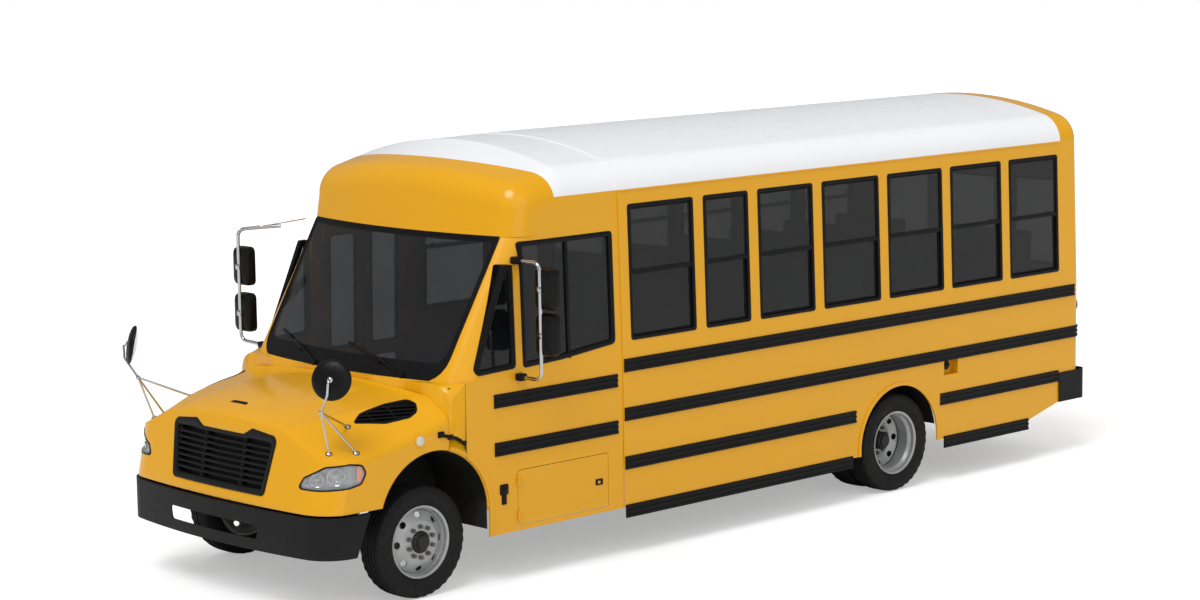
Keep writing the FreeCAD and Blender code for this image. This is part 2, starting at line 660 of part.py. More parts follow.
# cowl: firewall, its sides and the ledge below the windshield
cowl = low_cab.common(block((-FAR, FAR), (-FAR, S.cowl_rear_y), (S.floor_z - S.floor_depth, S.sill_z)))
ledge = cab_outer[3].common(block((-FAR, FAR), (-FAR, S.cowl_rear_y), (S.sill_z - 25, S.sill_z)))
cowl = cowl.fuse(ledge).cut(front_arch(S.front_arch_radius, (S.liner_x, FAR)))
cowl = cowl.cut(front_arch(S.front_arch_radius, (-FAR, -S.liner_x)))
cowl_lip = front_lip.common(block((0, FAR), (S.cowl_mid_y + 76, S.cowl_rear_y), (S.skirt_z, FAR)))
rib = front_arch(S.front_arch_radius, (S.liner_x, cab_side_x))
housing = rib.cut(front_arch(S.front_arch_radius - S.liner_sheet, (S.liner_x + S.liner_sheet, FAR)))
housing = housing.common(block((0, FAR), (200, FAR), (S.skirt_z, FAR)))
housing = housing.cut(block((0, FAR), (200, 560), (0, S.rail_bottom_z + 6)).common(LEFT))
feature("cowl", fused([cowl, cowl_lip, mirrored(cowl_lip), housing, mirrored(housing)]))

# windshield: a thin layer of the same bowed surface
screen_area = slab("front", screen_outline(S.fit_gap, S.screen_corner), 0.0, S.screen_top_y + 255)
feature("windshield", screen_layer(S.screen_sheet).common(screen_area))


# ---------------------------------------------------------------- windows

def side_windows(outlines, bars):
    """Frames with their panes, on one side: each bar is (outline number, share of the height or length)."""
    pieces = []
    for number, points in enumerate(outlines):
        outer_x = S.half_width + 50
        frame, hole = ring(points, S.gutter_half - 120, outer_x, S.window_rim)
        low_z = min(p[1] for p in points)
        high_z = max(p[1] for p in points)
        low_y = min(p[0] for p in points)
        high_y = max(p[0] for p in points)
        bar_way, share = bars[number]
        if bar_way == "across":
            middle = low_z + (high_z - low_z) * share
            bar = block((0, FAR), (low_y, high_y), (middle - 18, middle + 18)).common(hole)
            frame = frame.fuse(bar)
        elif bar_way == "upright":
            middle = low_y + (high_y - low_y) * share
            bar = block((0, FAR), (middle - 15, middle + 15), (low_z, high_z)).common(hole)
            frame = frame.fuse(bar)
        pieces.append((frame, hole))
    return pieces


def lean_slab(step, out, inward):
    """The space beside the leaning wall, from out beyond its skin to inward of it."""
    def line(offset):
        return [(wall_x(1400.0) - step + offset, 1400.0), (wall_x(S.sill_z) - step + offset, S.sill_z),
                (wall_x(2800.0) - step + offset, 2800.0)]
    points = line(out) + line(-inward)[::-1]
    return slab("front", points, -500.0, 8000.0)


def window_node(label, passenger, cab, mirror):
    pieces = []
    for outlines, step, bars in (passenger, cab):
        casing = lean_slab(step, 2.0, S.wall)
        pane = lean_slab(step, -12.0, 12.0 + S.glass_sheet)
        for frame, hole in side_windows(outlines, bars):
            rim = frame.common(casing)
            rim = rim.fuse(hole.common(pane))
            pieces.append(mirrored(rim) if mirror else rim)
    feature(label, Part.makeCompound(pieces))


across = [("across", 0.5)] * len(WINDOW_LENGTHS)
window_node("side_windows_left", (window_outlines(), 0.0, across),
            ([DRIVER_WINDOW, QUARTER_WINDOW], S.cab_step, [("upright", 0.5), ("none", 0)]), False)
window_node("side_windows_right", (window_outlines(), 0.0, across),
            ([QUARTER_WINDOW], S.cab_step, [("none", 0)]), True)
rear_panes = []
for points in REAR_WINDOWS:
    rear_panes.append(slab("front", points, S.body_rear_y - 22, S.body_rear_y - 10))
feature("rear_windows", both_sides(rear_panes))


# ---------------------------------------------------------------- rub rails

def plan_band(step, low, high):
    """The space between two offsets from the body's side and rear corner, in plan."""
    def form(out):
        side = S.half_width - step + out
        end = S.body_rear_y + out
        corner = S.rear_corner + out
        return slab("plan", [(0, 0), (side, 0), (side, end, corner), (0, end)], 0.0, 2000.0)
    return form(high).cut(form(low))


# body's rub rails: number down from the top, front, rear
RUB_RAILS = ((0, 1905, 7379), (1, 1905, 7560), (2, 1905, 4500), (2, 5562, 7158), (3, 1905, 4458), (3, 5609, 6742))
CAB_RAILS = (1337, 987)


def rub_rail(middle_z, front, rear, step):
    """A rail with three ribs along a flat base."""
    low, high = middle_z - S.rub_height / 2, middle_z + S.rub_height / 2
    base = plan_band(step, 0.0, S.rub_proud / 2).common(block((0, FAR), (front, rear), (low, high)))
    rail = base
    for share in (0.12, 0.5, 0.88):
        middle = low + (high - low) * share
        rib = plan_band(step, 0.0, S.rub_proud).common(block((0, FAR), (front, rear), (middle - 9, middle + 9)))
        rail = rail.fuse(rib)
    return rail


rails = []
for number, front, rear in RUB_RAILS:
    rail = rub_rail(S.rub_top_z - number * S.rail_pitch, front, rear, 0.0)
    if rear > S.body_rear_y:
        rail = rail.common(block((S.rear_door_half + 90, FAR), (0, 9000), (0, FAR)))
    rails.append(rail)
for middle_z in CAB_RAILS:
    rails.append(rub_rail(middle_z, 620.0, 1840.0, S.cab_step))
right_rails = [rails[i] for i in range(len(RUB_RAILS))]
feature("rub_rails", Part.makeCompound(rails + [mirrored(rail) for rail in right_rails]))


# ---------------------------------------------------------------- chassis

rail_x = (S.rail_half - S.rail_flange, S.rail_half)
rail_z = (S.rail_bottom_z, S.rail_bottom_z + S.rail_height)
rail_outer = block(rail_x, (S.rail_front_y, S.rail_rear_y), rail_z)
rail_hollow = block((rail_x[0] - 1, rail_x[1] - S.rail_sheet), (S.rail_front_y - 1, S.rail_rear_y + 1),
                    (rail_z[0] + S.rail_sheet, rail_z[1] - S.rail_sheet))
channel = rail_outer.cut(rail_hollow)
web_x = S.rail_half - S.rail_sheet
CROSS_Y = (-842, 1000, 1950, 3100, 4250, 5700, 6500, 7238)
MOUNT_Y = (-500, -60)
cross = [block((-web_x, web_x), (y, y + S.cross_width), (rail_z[1] - S.rail_sheet - S.cross_depth,
                                                       rail_z[1] - S.rail_sheet)) for y in CROSS_Y]
mounts = [block((-S.rail_half, S.rail_half), (y, y + S.cross_width), (rail_z[0] - 50, rail_z[0])) for y in MOUNT_Y]
horn_x = (rail_x[0] + 10, rail_x[0] + 22)
horn = slab("side", [(S.rail_front_y + 60, rail_z[0] + 20), (S.rail_front_y + 60, rail_z[1]),
                     (S.hood_pivot_y + 30, S.hood_pivot_z + 14, 8), (S.hood_pivot_y - 14, S.hood_pivot_z + 14, 12),
                     (S.hood_pivot_y - 14, S.hood_pivot_z - 8, 6), (S.rail_front_y + 15, S.hood_pivot_z - 50),
                     (S.rail_front_y + 15, rail_z[0] + 20)],
            horn_x[0], horn_x[1])
pin = rod(Vector(horn_x[0], S.hood_pivot_y, S.hood_pivot_z),
          Vector(horn_x[1] + 40, S.hood_pivot_y, S.hood_pivot_z), S.hood_pin)
left_rail = fused([channel, horn, pin])
feature("frame_rails", both_sides([left_rail]))
cross[0] = cross[0].cut(horn).cut(mirrored(horn))
feature("cross_members", Part.makeCompound(cross + mounts))

# engine with its gearbox: one plain block, at its real place
engine = primitive("Box", "engine_upper", {"Length": "600", "Width": "745", "Height": "600"},
                   ("-300", "-650", "Sizes.rail_bottom_z"))
gearbox = primitive("Box", "gearbox", {"Length": "360", "Width": "705", "Height": "230"},
                    ("-180", "95", "Sizes.rail_bottom_z"))
operation("MultiFuse", "engine_block", [engine, gearbox])
radiator = primitive("Box", "radiator", {"Length": "660", "Width": "70", "Height": "520"},
                     ("-330", "-842 + Sizes.cross_width - Sizes.origin_y", "630"))
nodes.append(radiator)
gearbox_room = block((-180, 180), (95, 800), (S.rail_bottom_z, S.rail_bottom_z + 230))
shaft = rod(Vector(0, 790, 641), Vector(0, S.rear_axle_y - 180, S.tyre_radius + 10), 45)
feature("propshaft", shaft.cut(gearbox_room))

tank = block((-1120, -480), (2300, 3500), (440, S.floor_z - S.floor_depth - S.sill_depth))
tank = tank.makeFillet(60, [e for e in tank.Edges if abs(e.BoundBox.YLength - 1200) < 1])
feature("fuel_tank", tank)
muffler = rod(Vector(600, 2400, 620), Vector(600, 3300, 620), 110)
pipe = rod(Vector(600, 1300, 620), Vector(600, 4300, 620), 45)
hanger = block((432, 500), (2780, 2860), (600, 640))
feature("exhaust", fused([muffler, pipe, hanger]))


def spring(middle_y, middle_x, seat_z, eye_z, reach, depth):
    """A leaf spring pack that curves up to its eyes."""
    width = S.rail_flange
    low = [Vector(middle_x - width / 2, middle_y - reach, eye_z), Vector(middle_x - width / 2, middle_y, seat_z),
           Vector(middle_x - width / 2, middle_y + reach, eye_z)]
    high = [point + Vector(0, 0, depth) for point in low]
    wire = Part.Wire([Part.Arc(*low).toShape(), Part.makeLine(low[2], high[2]),
                      Part.Arc(*high[::-1]).toShape(), Part.makeLine(high[0], low[0])])
    return Part.Face(wire).extrude(Vector(width, 0, 0))


axle_z = S.tyre_radius
front_spring_x = S.rail_half - S.rail_flange / 2
front_seat_z = 372.0
front_spring = spring(0.0, front_spring_x, front_seat_z, 476.0, 620.0, 58.0)
front_hangers = [block((rail_x[0], rail_x[1]), (y - 40, y + 40), (490, rail_z[0])) for y in (-590.0, 590.0)]
rear_spring_x = S.rail_half + 12 + S.rail_flange / 2
rear_seat_z = axle_z + 85.0
rear_spring = spring(S.rear_axle_y, rear_spring_x, rear_seat_z, 590.0, 700.0, 78.0)
rear_hangers = [block((S.rail_half, rear_spring_x + 30), (S.rear_axle_y + y - 40, S.rear_axle_y + y + 40),
                      (600, 720)) for y in (-670.0, 670.0)]
feature("leaf_springs", both_sides([fused([front_spring] + front_hangers), fused([rear_spring] + rear_hangers)]))

# front axle: a dropped beam with a kingpin boss at each end
beam = slab("front", [(-S.kingpin_x, 360), (-700, 350, 80), (-560, 282, 80), (560, 282, 80), (700, 350, 80),
                      (S.kingpin_x, 360), (S.kingpin_x, 450), (660, 440, 80), (520, 372, 80), (-520, 372, 80),
                      (-660, 440, 80), (-S.kingpin_x, 450)], -42, 42)
boss = rod(Vector(S.kingpin_x, 0, axle_z - 70), Vector(S.kingpin_x, 0, axle_z + 70), 42)
bore = rod(Vector(S.kingpin_x, 0, 0), Vector(S.kingpin_x, 0, 900), S.kingpin_radius + S.bearing_gap)
axle = fused([beam, boss, mirrored(boss)]).cut(bore).cut(mirrored(bore))
feature("front_axle", axle)

# rear axle: housing, differential and spring seats
housing = turned([(-700, 0), (-700, 75), (-200, 75), (-130, 175, 40), (130, 175, 40), (200, 75), (700, 75), (700, 0)],
                 Vector(0, S.rear_axle_y, axle_z))
spindle_end = S.dual_half + 97
spindle = rod(Vector(-spindle_end, S.rear_axle_y, axle_z), Vector(spindle_end, S.rear_axle_y, axle_z),
              S.spindle_radius)
seats = [block((side * rear_spring_x - 50, side * rear_spring_x + 50),
               (S.rear_axle_y - 90, S.rear_axle_y + 90), (axle_z, rear_seat_z)) for side in (-1, 1)]
feature("rear_axle", fused([housing, spindle] + seats))


# ---------------------------------------------------------------- floor and steps

floor_half = S.half_width - S.wall
deck = block((-floor_half, floor_half), (S.cowl_rear_y, S.body_rear_y - S.wall),
             (S.floor_z - S.floor_depth, S.floor_z))
deck = deck.fuse(block((-S.liner_x, S.liner_x), (S.cowl_mid_y + 80, S.cowl_rear_y),
                       (S.floor_z - S.floor_depth, S.floor_z)))
cab_floor_half = floor_half - S.cab_step
for side in (-1, 1):
    edge = sorted((side * cab_floor_half, side * FAR))
    deck = deck.cut(block(edge, (0, S.cab_rear_y), (0, FAR)))
deck = deck.cut(front_arch(S.front_arch_radius, (S.liner_x, FAR)))
deck = deck.cut(front_arch(S.front_arch_radius, (-FAR, -S.liner_x)))
STEP_X = -700.0
tread = 20.0
deck = deck.cut(block((-FAR, STEP_X + tread), (S.entry_front_y - 12, S.entry_rear_y + 12), (0, FAR)))
deck = deck.cut(body_shell)
deck = deck.cut(block((S.half_width - 76, FAR), (FILLER_Y[0] - 6, FILLER_Y[1] + 6),
                      (FILLER_Z[0] - 6, FILLER_Z[1] + 6)))
SILLS_Y = (700, 1850, 2300, 2900, 3460, 4000, 4480, 5560, 6100, 6700, 7300)
sill_z = (S.floor_z - S.floor_depth - S.sill_depth, S.floor_z - S.floor_depth)
sills = [block((-1150, 1150), (y, y + 60), sill_z) for y in SILLS_Y]
tunnel = rear_arch(S.rear_arch_radius + 30, (S.liner_x, floor_half - S.fit_gap))
tunnel = tunnel.common(block((0, FAR), (0, 9000), (500, FAR)))
room = rear_arch(S.rear_arch_radius + 30 - S.liner_sheet, (S.liner_x + S.liner_sheet, FAR))
deck = deck.cut(rear_arch(S.rear_arch_radius + 30, (S.liner_x, FAR)))
deck = deck.cut(rear_arch(S.rear_arch_radius + 30, (-FAR, -S.liner_x)))
housings = [tunnel.cut(room), mirrored(tunnel.cut(room))]
spacer = [block((side * 394 - 38, side * 394 + 38), (y, y + 60), sill_z) for side in (-1, 1) for y in (1300, 5030)]
feature("body_floor", deck.removeSplitter())
feature("floor_sills", Part.makeCompound(sills + spacer))
feature("wheel_housings", Part.makeCompound(housings))

step_foot = 400.0
steps = slab("front", [(-1165, step_foot), (-925, step_foot), (-925, 650), (STEP_X + tread, 650), (STEP_X + tread, 940),
                       (STEP_X, 940), (STEP_X, 650 + tread), (-925 - tread, 650 + tread),
                       (-925 - tread, step_foot + tread), (-1165, step_foot + tread)],
             S.entry_front_y - 12, S.entry_rear_y + 12)
cheek_outline = [(-1165, step_foot), (-925, step_foot), (-925, 650), (STEP_X, 650), (STEP_X, 940), (-1165, 940)]
cheeks = [slab("front", cheek_outline, y, y + 12) for y in (S.entry_front_y - 12, S.entry_rear_y)]
feature("entry_steps", fused([steps] + cheeks))


# ---------------------------------------------------------------- bumpers

def bumper_form(inset, z):
    face = bowed_face(S.front_y + inset, 65.0, 900.0, S.bumper_half - inset, -300.0, z[0])
    solid = face.extrude(Vector(0, 0, z[1] - z[0]))
    corners = [e for e in solid.Edges if e.BoundBox.ZLength > z[1] - z[0] - 1 and e.BoundBox.YMax < -600]
    return solid.makeFillet(S.bumper_corner - inset, corners)


bumper_z = (S.bumper_foot_z, S.bumper_top_z)
bumper = bumper_form(0.0, bumper_z).cut(bumper_form(S.bumper_sheet, bumper_z))
flange = bumper_form(0.0, bumper_z).cut(bumper_form(S.bumper_flange, bumper_z))
for z in ((bumper_z[0], bumper_z[0] + S.bumper_sheet), (bumper_z[1] - S.bumper_sheet, bumper_z[1])):
    bumper = bumper.fuse(flange.common(block((-FAR, FAR), (-FAR, 0), z)))
ends = slab("side", [(S.bumper_end_y - S.bumper_end_rake, bumper_z[0] - 1), (S.bumper_end_y, bumper_z[1] + 1),
                     (0, bumper_z[1] + 1), (0, bumper_z[0] - 1)], -FAR, FAR)
slot = slab("front", [(-S.slot_half, 495, 25), (S.slot_half, 495, 25), (S.slot_half + 20, 595, 25),
                      (-S.slot_half - 20, 595, 25)], -FAR, -900)
arms = [arm.common(bumper_form(S.bumper_sheet, bumper_z)) for arm in
        [block((x, x + 12), (S.front_y, S.rail_front_y), (rail_z[0] + 45, bumper_z[1] - S.bumper_sheet))
         for x in (rail_x[1] + 1, -rail_x[1] - 13)]]
pads = [block(sorted((side * (rail_x[0] + 40), side * (rail_x[1] + 13))), (S.rail_front_y - 10, S.rail_front_y),
              (rail_z[0] + 45, bumper_z[1] - S.bumper_sheet)) for side in (-1, 1)]
feature("front_bumper", fused([bumper.cut(ends).cut(slot)] + arms + pads))

rear_z = (S.rear_bumper_foot_z, S.rear_bumper_top_z)


def rear_form(inset):
    side, end, corner = S.rear_bumper_half - inset, S.rear_y - inset, 90.0 - inset
    return slab("plan", [(-side, S.rear_bumper_y), (side, S.rear_bumper_y), (side, end, corner), (-side, end, corner)],
                rear_z[0], rear_z[1])


rear_bumper = rear_form(0.0).cut(rear_form(S.rear_bumper_sheet))
brackets = [block((side * 394 - 38, side * 394 + 38), (S.rail_rear_y, S.rear_y - S.rear_bumper_sheet), (580, 700))
            for side in (-1, 1)]
rear_bumper = fused([rear_bumper] + brackets)
for side in (-1, 1):
    bolt_y = (S.rear_y - S.rear_bumper_sheet - 5, S.rear_y + 5)
    place = [Vector(side * S.hitch_bolt_x, y, S.hitch_bolt_z) for y in bolt_y]
    rear_bumper = rear_bumper.cut(rod(*place, S.hitch_bolt_radius))
feature("rear_bumper", rear_bumper)


# ---------------------------------------------------------------- hood

# hood sections: y, half width, fender height, shoulder half width, shoulder height, crown height
HOOD_SECTIONS = (
    (-1000, 1150, 985, 590, 1185, 1200),
    (-700, 1185, 1075, 720, 1300, 1355),
    (-300, 1205, 1150, 880, 1360, 1430),
    (210, 1211, 1290, 1040, 1430, 1503),
)


def hood_section(row, inset):
    y, half, fender, shoulder, shoulder_z, crown = row
    half -= inset
    fender -= inset * 0.6
    shoulder -= inset * 0.5
    shoulder_z -= inset
    foot = S.hood_bottom_z - 200.0

    def across(point):
        return Vector(-point.x, point.y, point.z)

    def corner(before, point, after, radius):
        back = (before - point).normalize()
        ahead = (after - point).normalize()
        angle = back.getAngle(ahead) / 2
        reach = radius / math.tan(angle)
        middle = point + (back + ahead).normalize() * (radius / math.sin(angle) - radius)
        return point + back * reach, middle, point + ahead * reach

    low = Vector(half, y, foot)
    edge = Vector(half, y, fender)
    brow = Vector(shoulder, y, shoulder_z)
    top = Vector(0, y, crown - inset)
    first = corner(low, edge, brow, 90.0)
    second = corner(edge, brow, top, 260.0)
    crest = Vector(0, y, crown - inset)
    left = [
        Part.makeLine(low, first[0]),
        Part.Arc(*first).toShape(),
        Part.makeLine(first[2], second[0]),
        Part.Arc(*second).toShape(),
    ]
    right = [
        Part.Arc(*[across(p) for p in second[::-1]]).toShape(),
        Part.makeLine(across(second[0]), across(first[2])),
        Part.Arc(*[across(p) for p in first[::-1]]).toShape(),
        Part.makeLine(across(first[0]), across(low)),
    ]
    top_edge = Part.Arc(second[2], crest, across(second[2])).toShape()
    return Part.Wire(left + [top_edge] + right + [Part.makeLine(across(low), low)])


def hood_front(inset):
    """The space behind the hood's bowed, leaning front."""
    lean = S.hood_lean
    shift = inset * math.hypot(lean, 1)
    foot = S.hood_bottom_z - 300.0
    face = bowed_face(S.hood_front_y + shift - 300.0 * lean, S.hood_bow, S.hood_bow_half,
                      S.hood_half - inset, 900.0, foot)
    solid = face.extrude(Vector(0, 1200 * lean, 1200))
    corners = [e for e in solid.Edges if e.BoundBox.ZLength > 1100 and e.BoundBox.YMax < 0]
    return solid.makeFillet(S.hood_corner - inset, corners)


def hood_form(inset):
    wires = [hood_section(row, inset) for row in HOOD_SECTIONS]
    return Part.makeLoft(wires, True, False).common(hood_front(inset))


hood_outer = hood_form(0.0)
hood_inner = hood_form(S.hood_sheet)
hood = hood_outer.cut(hood_inner)
hood = hood.common(block((-FAR, FAR), (-FAR, FAR), (S.hood_bottom_z, FAR)))
cowl_room = bowed_face(S.cowl_mid_y - S.hood_gap, 80.0, 1211.0, 1300.0, FAR, 0.0).extrude(Vector(0, 0, 2000))
hood = hood.cut(cowl_room).cut(front_arch(S.front_arch_radius, (-FAR, FAR)))
GRILLE = [(-S.grille_foot_half, S.grille_foot_z, 40), (S.grille_foot_half, S.grille_foot_z, 40),
          (S.grille_top_half, S.grille_top_z, 50), (328, S.grille_top_z + 30, 20), (238, 1192, 20),
          (-238, 1192, 20), (-328, S.grille_top_z + 30, 20), (-S.grille_top_half, S.grille_top_z, 50)]
grille_hole = slab("front", GRILLE, -1300, -700)
hood = hood.cut(grille_hole)

# a lamp's outline, drawn on a plane that faces the front corner: along the corner, height, rounding
LAMP = [(-20, 890, 20), (30, 975, 60), (190, 1058, 90), (358, 1073, 60), (440, 1058, 40), (466, 994, 60),
        (432, 918, 40), (356, 900, 60), (153, 888, 60)]
DIAGONAL = Vector(1, -1, 0).normalize()
ALONG = Vector(1, 1, 0).normalize()


def lamp_prism(points):
    """An outline on the diagonal plane of the left front corner, carried outward."""
    start = DIAGONAL * 900.0
    face = outline("side", points)
    turn = FreeCAD.Placement(Vector(0, 0, 0), FreeCAD.Rotation(Vector(0, 0, 1), -45.0))
    face.Placement = turn.multiply(face.Placement)
    face.translate(start)
    return face.extrude(DIAGONAL * 900.0)


lamp_room = lamp_prism(LAMP)
hood = hood.cut(lamp_room).cut(mirrored(lamp_room))

# the side vents: a teardrop on each shoulder of the hood, drawn in plan
VENT = [(925, -438, 14), (882, -339, 60), (885, -115, 80), (933, 36, 60), (1024, 58, 40), (1074, 25, 40),
        (1084, -52, 80), (1038, -240, 80)]
VENT_DEPTH = (1100.0, 1600.0)
vent_room = slab("plan", VENT, *VENT_DEPTH)
hood = hood.cut(vent_room).cut(mirrored(vent_room))

liner = front_arch(S.front_arch_radius, (S.liner_x, FAR)).cut(
    front_arch(S.front_arch_radius - S.liner_sheet, (S.liner_x - 1, FAR)))
liner = liner.common(hood_outer).common(block((0, FAR), (-FAR, 100), (S.hood_bottom_z, FAR)))
hood_ear = slab("side", [(S.hood_pivot_y - 45, S.hood_pivot_z - 6), (S.hood_pivot_y + 16, S.hood_pivot_z - 14, 8),
                         (S.hood_pivot_y + 16, S.hood_pivot_z + 38), (S.hood_pivot_y - 45, S.hood_pivot_z + 38)],
                horn_x[1] + 6, horn_x[1] + 18)
hood_ear = hood_ear.common(hood_outer)
ear_bore = rod(Vector(0, S.hood_pivot_y, S.hood_pivot_z), Vector(900, S.hood_pivot_y, S.hood_pivot_z),
               S.hood_pin + S.bearing_gap)
hood_ear = hood_ear.cut(ear_bore)
hood_parts = [hood]
for piece in (liner, hood_ear):
    hood_parts += [piece, mirrored(piece)]
feature("hood_shell", fused(hood_parts))

grille_slab = hood_front(-S.grille_proud).cut(hood_front(S.grille_inset))
bar_slab = hood_front(-2.0).cut(hood_front(S.grille_inset))
face = Part.Face(outline("front", GRILLE, -1300).OuterWire.makeOffset2D(-S.fit_gap))
inner_face = Part.Face(face.OuterWire.makeOffset2D(-S.grille_rim))
surround = face.extrude(Vector(0, 600, 0)).cut(inner_face.extrude(Vector(0, 600, 0))).common(grille_slab)
opening = inner_face.extrude(Vector(0, 600, 0))
bars = []
bar_count = int(S.grille_bars)
for number in range(bar_count):
    middle = S.grille_foot_z + (S.grille_top_z - S.grille_foot_z) * (number + 1) / (bar_count + 1)
    bar = block((-FAR, FAR), (-FAR, 0), (middle - S.grille_bar_depth / 2, middle + S.grille_bar_depth / 2))
    bars.append(bar.common(opening).common(bar_slab))
post_slab = hood_front(10.0).cut(hood_front(S.grille_inset + 14))
posts = [block((x - 20, x + 20), (-FAR, 0), (0, FAR)).common(opening).common(post_slab) for x in (-230, 230)]
feature("grille", fused([surround] + bars + posts))

lamp_body = hood_form(-2.0).cut(hood_form(45.0)).common(lamp_room)
feature("headlamps", both_sides([lamp_body]))

vent_face = outline("plan", VENT, VENT_DEPTH[0])
vent_run = Vector(0, 0, VENT_DEPTH[1] - VENT_DEPTH[0])
vent_hole = Part.Face(vent_face.OuterWire.makeOffset2D(-12)).extrude(vent_run)
vent_frame = vent_face.extrude(vent_run).cut(vent_hole).common(hood_form(-3.0).cut(hood_form(22.0)))
slat_shell = hood_form(2.0).cut(hood_form(19.0)).common(vent_hole)
louvres = []
for number in range(5):
    low = 1284.0 + number * 20.0
    louvres.append(slat_shell.common(block((0, FAR), (-FAR, FAR), (low, low + 7))))
back_plate = vent_hole.common(hood_form(18.0).cut(hood_form(22.0)))
feature("hood_vents", both_sides([fused([vent_frame, back_plate] + louvres)]))

# cross-view mirrors: a round head on a tripod of tubes from the fender
mirror_centre = Vector(1180, -813, 1673)
facing = Vector(-0.55, 0.8, -0.25).normalize()
head = Part.makeCone(145, 120, 22, mirror_centre, facing * -1).fuse(
    Part.makeCylinder(145, 14, mirror_centre, facing))
dome = Part.makeSphere(200, mirror_centre + facing * 140).common(
    Part.makeCylinder(120, 100, mirror_centre - facing * 20, facing * -1))
head = head.fuse(dome)
joint = Vector(1085, -835, 1440)
ball = Part.makeSphere(16, joint)
stem = bent_tube([mirror_centre - facing * 25 + Vector(0, 0, -10), mirror_centre - facing * 85 + Vector(-10, 0, -60),
                  joint], 25, 9)
FEET = (Vector(1036, -738, 1128), Vector(1137, -575, 1125), Vector(921, -475, 1272))
tripod = [head, stem, ball]
for foot in FEET:
    tripod.append(rod(joint, foot, 9))
crossview = fused(tripod)
crossview = crossview.cut(hood_form(-0.3))
feature("crossview_mirrors", both_sides([crossview]))


# ---------------------------------------------------------------- doors

def leaf(y):
    """One leaf of the entry door, with its long window."""
    panel = slab("side", [(y[0], S.entry_foot_z), (y[1], S.entry_foot_z), (y[1], S.entry_top_z - S.door_gap, 30),
                          (y[0], S.entry_top_z - S.door_gap, 30)], 0, FAR)
    panel = panel.common(door_slab)
    low = [(y[0] + 70, 620, 40), (y[1] - 70, 620, 40), (y[1] - 70, 1330, 40), (y[0] + 70, 1330, 40)]
    high = [(y[0] + 70, 1420, 40), (y[1] - 70, 1420, 40), (y[1] - 70, 2320, 40), (y[0] + 70, 2320, 40)]
    for points in (low, high):
        hole = slab("side", points, 0, FAR)
        panel = panel.cut(hole).fuse(hole.common(door_glass_slab))
    return mirrored(panel)


def door_band(out, inward):
    def line(offset):
        step = S.cab_step
        return [(wall_x(0.0) - step + offset, 300.0), (wall_x(S.sill_z) - step + offset, S.sill_z),
                (wall_x(2600.0) - step + offset, 2600.0)]
    return slab("front", line(out) + line(-inward)[::-1], -500.0, 8000.0)


door_slab = door_band(0.0, S.door_sheet)
door_glass_slab = door_band(-14.0, 14.0 + S.glass_sheet)
entry_mid = (S.entry_front_y + S.entry_rear_y) / 2
front_leaf = leaf((S.entry_front_y + S.door_gap, entry_mid - S.leaf_gap / 2))
rear_leaf = leaf((entry_mid + S.leaf_gap / 2, S.entry_rear_y - S.door_gap))
feature("entry_door_front", fused([front_leaf] + [on_door for on_frame, on_door in front_hinges]))
feature("entry_door_rear", fused([rear_leaf] + [on_door for on_frame, on_door in rear_hinges]))

half = S.rear_door_half - S.door_gap
door = slab("front", [(-half, S.rear_door_foot_z + S.door_gap, 25), (half, S.rear_door_foot_z + S.door_gap, 25),
                      (half, S.rear_door_top_z - S.door_gap, 55), (-half, S.rear_door_top_z - S.door_gap, 55)],
            S.body_rear_y - S.door_sheet, S.body_rear_y)
for low, high in ((1080, 1480), (1640, 2380)):
    points = [(-half + 90, low, 40), (half - 90, low, 40), (half - 90, high, 40), (-half + 90, high, 40)]
    hole = slab("front", points, 7000, 9000)
    door = door.cut(hole).fuse(hole.common(block((-FAR, FAR), (S.body_rear_y - 20, S.body_rear_y - 14), (0, FAR))))
handle = block((half - 75, half - 45), (S.body_rear_y, S.body_rear_y + 30), (1540, 1590)).fuse(
    block((half - 75, half - 45), (S.body_rear_y + 18, S.body_rear_y + 30), (1440, 1590)))
feature("rear_door", fused([door, handle] + [on_door for on_frame, on_door in rear_door_hinges]))

access_x = S.half_width - S.cab_step
gap = S.door_gap / 2
access = slab("side", [(832 + gap, 404 + gap, 18), (1738 - gap, 404 + gap, 18), (1738 - gap, 810 - gap, 18),
                       (832 + gap, 810 - gap, 18)], access_x - 6, access_x)
latch = block((access_x, access_x + 8), (1610, 1670), (585, 620))
feature("access_door", fused([access, latch] + [on_door for on_frame, on_door in access_hinges]))


# ---------------------------------------------------------------- wheels

def tyre(x, y):
    edge = S.tyre_half
    return turned([(-84, S.rim_radius + 0.5), (84, S.rim_radius + 0.5), (86, S.flange_radius + 2),
                   (edge - 4, 295, 20), (edge, 335, 60), (96, S.tyre_radius, 26), (-96, S.tyre_radius, 26),
                   (-edge, 335, 60), (4 - edge, 295, 20), (-86, S.flange_radius + 2)], Vector(x, y, axle_z))


def rim(x, y, disc_x, outward):
    """A rim barrel and its disc; disc_x is the disc's face from the rim's middle plane."""
    flange, seat, sheet, half = S.flange_radius, S.rim_radius, S.rim_sheet, S.rim_half
    barrel = [(-half, flange), (-half + 10, flange), (-half + 10, seat), (half - 10, seat), (half - 10, flange),
              (half, flange), (half, flange - 8), (half - 4, seat - sheet), (-half + 4, seat - sheet),
              (-half, flange - 8)]
    face_x = disc_x
    foot_x = disc_x - outward * 34
    disc = [(foot_x, seat - sheet + 1), (foot_x - outward * 12, seat - sheet + 1), (face_x - outward * 12, 150, 20),
            (face_x - outward * 12, S.hub_radius - 8), (face_x, S.hub_radius - 8), (face_x, 158, 24)]
    wheel = turned(barrel, Vector()).fuse(turned(disc, Vector()))
    for number in range(int(S.hand_holes)):
        angle = 2 * math.pi * number / S.hand_holes
        middle = Vector(0, 196 * math.cos(angle), 196 * math.sin(angle))
        hole = Part.makeCylinder(21, 400, middle - Vector(200, 0, 0), Vector(1, 0, 0))
        wheel = wheel.cut(hole)
    wheel.translate(Vector(x, y, axle_z))
    return wheel


